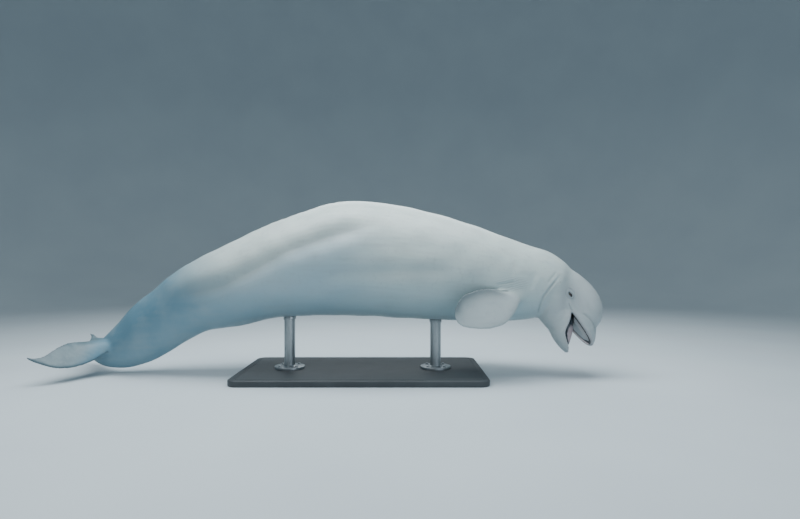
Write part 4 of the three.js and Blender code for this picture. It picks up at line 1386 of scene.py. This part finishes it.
def addNode(material, kind, sockets, give=0, **settings):
    # a socket takes a plain value, a hex colour, or the output that feeds it
    node = material.node_tree.nodes.new("ShaderNode" + kind)
    for key, value in settings.items():
        setattr(node, key, value)
    for key, value in sockets.items():
        if isinstance(value, bpy.types.NodeSocket):
            material.node_tree.links.new(value, node.inputs[key])
        elif isinstance(value, str):
            node.inputs[key].default_value = linear(value)
        else:
            node.inputs[key].default_value = value
    return node.outputs[give] if node.outputs else node


def startMaterial(name):
    material = bpy.data.materials.new(name)
    material.use_nodes = True
    material.node_tree.nodes.clear()
    return material, addNode(material, "TexCoord", {}, give="Object")


def finishMaterial(material, piece, shader):
    addNode(material, "OutputMaterial", {"Surface": shader})
    piece.data.materials.clear()
    piece.data.materials.append(material)


def perMetre(size):
    # the scale of a pattern whose blotches are this many mm across
    return 1 / (size * mm)


def blend(m, tone, colour, pattern, low=0.0, high=1.0, amount=1.0):
    # the colour comes over the tone where the pattern rises from low to high
    share = addNode(m, "MapRange", {0: pattern, 1: low, 2: high, 3: 0.0, 4: amount})
    return addNode(m, "Mix", {0: share, 6: tone, 7: colour}, give=2, data_type="RGBA")


def layShades(m, tone, rows):
    # shades that are kept with the points: name, how much of it shows, and its colour
    for name, amount, colour in rows:
        shade = addNode(m, "Attribute", {}, give="Fac", attribute_name=name)
        tone = blend(m, tone, colour, shade, amount=amount)
    return tone


# Whale skin: smooth rubbery hide over blubber. It reads satin and softly mottled, with painted shade in its
# folds, under it, down its flanks, toward the tail and round the eyes.
skinTones = {
    "back": "#c6d3d0",
    # painted shade down the flank, toward the tail, on the flukes, underneath, round the eyes and over the
    # flippers; the face's greyer tone is its own
    "shades": [
        ("flankPaintedShade", 0.9, "#a9bfc8"),
        ("tailwardPaintedShade", 1.0, "#5f8496"),
        ("fluke", 0.95, "#566a72"),
        ("under", 0.65, "#84a4b2"),
        ("face", 0.85, "#a6aeb1"),
        ("socket", 0.6, "#8f999e"),
        ("flipper", 0.85, "#bcc4c5"),
    ],
    # size of the blotches in mm, detail, where they start and end, how much shows, and their colour
    "mottling": [
        (160, 3, 0.42, 0.68, 0.2, "#aab6ba"),
        (26, 5, 0.56, 0.74, 0.18, "#8b989d"),
    ],
    # painted shade in the folds and deep in the mouth, and on the rims of the flukes and flippers over their
    # own dark edges; the lips and the lining keep their own colour
    "marks": [
        ("fold", 0.75, "#5f6b71"),
        ("edge", 0.95, "#3f5159"),
        ("lip", 0.4, "#a3989c"),
        ("mouthLining", 1.0, "#e8dadb"),
        ("deep", 0.95, "#2c383e"),
    ],
    # streaks run back along the body, as rubbing leaves them: their stretch and size in mm
    "streaks": {"stretch": (0.12, 1, 1), "size": 34, "amount": 0.2, "colour": "#93a1a6"},
    # the wrinkles' colour is painted shade along their lines
    "wrinkles": {"distortion": 3.5, "amount": 0.34, "colour": "#6d7a80"},
    "grain": {"fine": 5, "soft": 38, "depth": 1.4},  # of the bump, in mm
}


def skinMaterial(piece):
    m, place = startMaterial("blubber hide, satin")
    tone = layShades(m, skinTones["back"], skinTones["shades"])
    for size, detail, low, high, amount, colour in skinTones["mottling"]:
        blotch = addNode(m, "TexNoise", {"Vector": place, "Scale": perMetre(size), "Detail": detail})
        tone = blend(m, tone, colour, blotch, low, high, amount)
    streaks = skinTones["streaks"]
    stretched = addNode(m, "Mapping", {"Vector": place, "Scale": streaks["stretch"]})
    streak = addNode(m, "TexNoise", {"Vector": stretched, "Scale": perMetre(streaks["size"]), "Detail": 4})
    tone = blend(m, tone, streaks["colour"], streak, 0.5, 0.72, streaks["amount"])
    # fine wrinkles over the roots of the flippers, where the hide bends: bumped, and darkened along their
    # lines with painted shade
    slope = (0, math.radians(wrinkles["slope"]), 0)
    sloped = addNode(m, "Mapping", {"Vector": place, "Rotation": slope})
    waves = {"Vector": sloped, "Scale": perMetre(wrinkles["spacing"]) * math.pi / 10, "Detail": 2}
    waves["Distortion"] = skinTones["wrinkles"]["distortion"]
    lines = addNode(m, "TexWave", waves, give="Fac", bands_direction="Z")
    lines = addNode(m, "MapRange", {0: lines, 1: 0.7, 2: 1.0})
    wrinkled = addNode(m, "Attribute", {}, give="Fac", attribute_name="wrinkled")
    lines = addNode(m, "Math", {0: lines, 1: wrinkled}, operation="MULTIPLY")
    tone = blend(m, tone, skinTones["wrinkles"]["colour"], lines, amount=skinTones["wrinkles"]["amount"])
    tone = layShades(m, tone, skinTones["marks"])
    grain = skinTones["grain"]
    fine = addNode(m, "TexNoise", {"Vector": place, "Scale": perMetre(grain["fine"]), "Detail": 3})
    soft = addNode(m, "TexNoise", {"Vector": place, "Scale": perMetre(grain["soft"]), "Detail": 4})
    fine = addNode(m, "Math", {0: fine, 1: 0.35}, operation="MULTIPLY")
    height = addNode(m, "Math", {0: fine, 1: soft}, operation="ADD")
    height = addNode(m, "Math", {0: height, 1: lines}, operation="SUBTRACT")
    bump = addNode(m, "Bump", {"Height": height, "Strength": 0.25, "Distance": grain["depth"] * mm})
    wet = addNode(m, "TexNoise", {"Vector": place, "Scale": perMetre(70), "Detail": 4})
    rough = addNode(m, "MapRange", {0: wet, 1: 0.2, 2: 0.8, 3: 0.38, 4: 0.54})
    finishMaterial(m, piece, addNode(m, "BsdfPrincipled", {
        "Base Color": tone, "Roughness": rough, "Normal": bump, "IOR": 1.42,
        "Subsurface Weight": 0.06, "Subsurface Radius": (0.02, 0.012, 0.008),
        "Coat Weight": 0.1, "Coat Roughness": 0.3,
    }))


# Eye: cast clear resin over a dark iris, so it shines wet
eyeTones = {
    "pupil": "#050505",
    # iris, dark rim and white: the degrees from the pupil's middle where each comes in, and its colour
    "rings": [(14, 20, "#2c1c14"), (36, 46, "#120d0c"), (66, 80, "#3d3636")],
    "thread": 1.6,   # how wide the iris's threads are, in mm
    "raggedness": 6.0,
}


def eyeMaterial(piece):
    m, place = startMaterial("cast resin eye, polished")
    angle = addNode(m, "Attribute", {}, give="Fac", attribute_name="fromPupil")
    threads = addNode(m, "TexNoise", {"Vector": place, "Scale": perMetre(eyeTones["thread"]), "Detail": 3})
    threads = addNode(m, "Math", {0: threads, 1: eyeTones["raggedness"]}, operation="MULTIPLY")
    ring = addNode(m, "Math", {0: angle, 1: threads}, operation="ADD")
    tone = eyeTones["pupil"]
    for low, high, colour in eyeTones["rings"]:
        tone = blend(m, tone, colour, ring, low, high)
    finishMaterial(m, piece, addNode(m, "BsdfPrincipled", {
        "Base Color": tone, "Roughness": 0.06, "IOR": 1.45, "Coat Weight": 1.0, "Coat Roughness": 0.03,
    }))


# Tongue: moist flesh, pink under grey, with small even bumps
def tongueMaterial(piece):
    m, place = startMaterial("tongue flesh, moist")
    patch = addNode(m, "TexNoise", {"Vector": place, "Scale": perMetre(34), "Detail": 4})
    tone = blend(m, "#b8a9ad", "#a29499", patch, 0.35, 0.7)
    # painted shade where the tongue sinks below the lips and back in the throat
    tone = layShades(m, tone, [("deep", 1.0, "#39434a")])
    grain = addNode(m, "TexNoise", {"Vector": place, "Scale": perMetre(2.4), "Detail": 2})
    bump = addNode(m, "Bump", {"Height": grain, "Strength": 0.35, "Distance": 0.6 * mm})
    rough = addNode(m, "MapRange", {0: patch, 1: 0.35, 2: 0.7, 3: 0.26, 4: 0.38})
    finishMaterial(m, piece, addNode(m, "BsdfPrincipled", {
        "Base Color": tone, "Roughness": rough, "Normal": bump,
        "Subsurface Weight": 0.1, "Subsurface Radius": (0.012, 0.005, 0.004),
    }))


# Teeth: worn ivory, yellower where it is stained
def toothMaterial(piece):
    m, place = startMaterial("ivory, worn")
    stain = addNode(m, "TexNoise", {"Vector": place, "Scale": perMetre(7), "Detail": 4})
    tone = blend(m, "#d9d0b8", "#b7a682", stain, 0.35, 0.7)
    rough = addNode(m, "MapRange", {0: stain, 1: 0.35, 2: 0.7, 3: 0.25, 4: 0.4})
    finishMaterial(m, piece, addNode(m, "BsdfPrincipled", {"Base Color": tone, "Roughness": rough}))


# Slab: powder-coated steel plate; the baked powder leaves a fine orange-peel and a dull sheen
def slabMaterial(piece):
    m, place = startMaterial("powder-coated steel, dark grey")
    wear = addNode(m, "TexNoise", {"Vector": place, "Scale": perMetre(220), "Detail": 5})
    tone = blend(m, "#3a3f42", "#484d50", wear, 0.45, 0.75)
    peel = addNode(m, "TexNoise", {"Vector": place, "Scale": perMetre(2.2), "Detail": 2})
    bump = addNode(m, "Bump", {"Height": peel, "Strength": 0.25, "Distance": 0.4 * mm})
    rough = addNode(m, "MapRange", {0: wear, 1: 0.45, 2: 0.75, 3: 0.46, 4: 0.58})
    finishMaterial(m, piece, addNode(m, "BsdfPrincipled", {
        "Base Color": tone, "Roughness": rough, "Normal": bump,
    }))


# Rods and flanges: stainless steel brushed one way; the marks are drawn wider than real to show
def steelMaterial(piece, name, stretch):
    m, place = startMaterial(name)
    stretched = addNode(m, "Mapping", {"Vector": place, "Scale": stretch})
    marks = addNode(m, "TexNoise", {"Vector": stretched, "Scale": perMetre(2.2), "Detail": 3})
    tone = blend(m, "#9ea3a6", "#b9bdbf", marks, 0.3, 0.7)
    rough = addNode(m, "MapRange", {0: marks, 1: 0.3, 2: 0.7, 3: 0.34, 4: 0.46})
    bump = addNode(m, "Bump", {"Height": marks, "Strength": 0.08, "Distance": 0.3 * mm})
    finishMaterial(m, piece, addNode(m, "BsdfPrincipled", {
        "Base Color": tone, "Roughness": rough, "Normal": bump, "Metallic": 1.0,
    }))


skinMaterial(skin)
eyeMaterial(eyeRight)
eyeMaterial(eyeLeft)
tongueMaterial(tonguePiece)
toothMaterial(teethPiece)
slabMaterial(slab)
for where in stand["rods"]:
    steelMaterial(rods[where], "stainless steel tube, brushed", (1, 1, 0.06))
    steelMaterial(flanges[where], "stainless steel plate, brushed", (1, 0.06, 1))
say("materials set")

# The CAD pieces that the new pieces take the place of are hidden, and the new pieces hang from the root
fleshNodes = [
    "head", "lower_jaw", "neck", "chest", "torso", "abdomen", "tail_stock", "tail_end",
    "fluke_right", "fluke_left", "flipper_right", "flipper_left",
]
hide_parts(*fleshNodes)
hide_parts("eye_right")
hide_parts("eye_left")
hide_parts("tongue")
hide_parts("stand_base")
for where in stand["rods"]:
    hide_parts(f"stand_rod_{where}")
    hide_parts(f"stand_flange_{where}")
for piece in (skin, eyeRight, eyeLeft, tonguePiece, teethPiece, slab, *rods.values(), *flanges.values()):
    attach(piece, "root")

# Camera, in the place that the photograph was taken from
camera = {
    "at": (0.44757, -3.6, 0.720),
    "focal": 570,       # in pixels of a picture 800 wide
    "pictureWidth": 800,
    "sensor": 36,
}
dropSelection()
bpy.ops.object.camera_add(location=camera["at"], rotation=(math.pi / 2, 0, 0))
cameraObject = bpy.context.object
cameraObject.data.sensor_width = camera["sensor"]
cameraObject.data.lens = camera["focal"] * camera["sensor"] / camera["pictureWidth"]
bpy.context.scene.camera = cameraObject

# Floor: a round room of matt paper whose floor curves up into its wall, open at the top
studio = {"floor": 6.5, "curve": 3.5, "wall": 5.5, "colour": "#c6d0d5", "drift": "#c1cbd1"}


def makeStudio():
    dropSelection()
    bpy.ops.mesh.primitive_uv_sphere_add(segments=96, ring_count=96, radius=1)
    room = bpy.context.object
    room.name = "studio_floor"
    with editing(room):
        bpy.ops.mesh.bisect(plane_co=(0, 0, 0), plane_no=(0, 0, 1), clear_outer=True)
        bpy.ops.mesh.select_all(action="SELECT")
        bpy.ops.mesh.flip_normals()
    co = pointsOf(room)
    heading = np.arctan2(co[:, 1], co[:, 0])
    quarter = math.pi / 2
    run = np.arccos(np.clip(-co[:, 2], 0, 1)) / quarter
    run *= studio["floor"] + studio["curve"] * quarter + studio["wall"]
    turned = np.clip((run - studio["floor"]) / studio["curve"], 0, quarter)
    out = np.minimum(run, studio["floor"]) + studio["curve"] * np.sin(turned)
    high = studio["curve"] * (1 - np.cos(turned))
    high += np.maximum(run - studio["floor"] - studio["curve"] * quarter, 0)
    movePoints(room, np.stack([out * np.cos(heading), out * np.sin(heading), high], 1))
    shadeSmooth(room)
    m, place = startMaterial("seamless paper, matt")
    drift = addNode(m, "TexNoise", {"Vector": place, "Scale": perMetre(900), "Detail": 2})
    tone = blend(m, studio["colour"], studio["drift"], drift, 0.3, 0.7)
    shader = addNode(m, "BsdfPrincipled", {"Base Color": tone, "Roughness": 0.85})
    finishMaterial(m, room, shader)


makeStudio()

# Lights: most of the light falls from above, with a soft fill from the camera's side
lamps = [
    # name, place, what it is aimed at, size, power and colour
    ("overhead", (0.1, -0.2, 3.9), (0.1, 0, 0.6), (4.6, 2.2), 255, "#f4fcff"),
    ("key", (-1.6, -3.4, 3.8), (0.2, 0, 0.6), (2.4, 1.8), 62, "#ffffff"),
    ("fill", (2.8, -3.8, 1.3), (1.0, 0, 0.5), (2.2, 1.6), 28, "#e6f3ff"),
    ("back", (0.5, 3.2, 3.0), (0.0, 0, 0.7), (4.0, 1.4), 60, "#f4fcff"),
]
sky = {"colour": "#9fb4c0", "strength": 0.48}
for name, at, aim, size, power, colour in lamps:
    dropSelection()
    bpy.ops.object.light_add(type="AREA", location=at)
    light = bpy.context.object
    light.name = f"light_{name}"
    light.data.shape = "RECTANGLE"
    light.data.size, light.data.size_y = size
    light.data.energy = power
    light.data.color = linear(colour)[:3]
    light.rotation_euler = (Vector(aim) - Vector(at)).to_track_quat("-Z", "Y").to_euler()

world = bpy.data.worlds.new("studio")
bpy.context.scene.world = world
world.use_nodes = True
background = world.node_tree.nodes["Background"]
background.inputs["Color"].default_value = linear(sky["colour"])
background.inputs["Strength"].default_value = sky["strength"]
say("camera, floor and lights set")
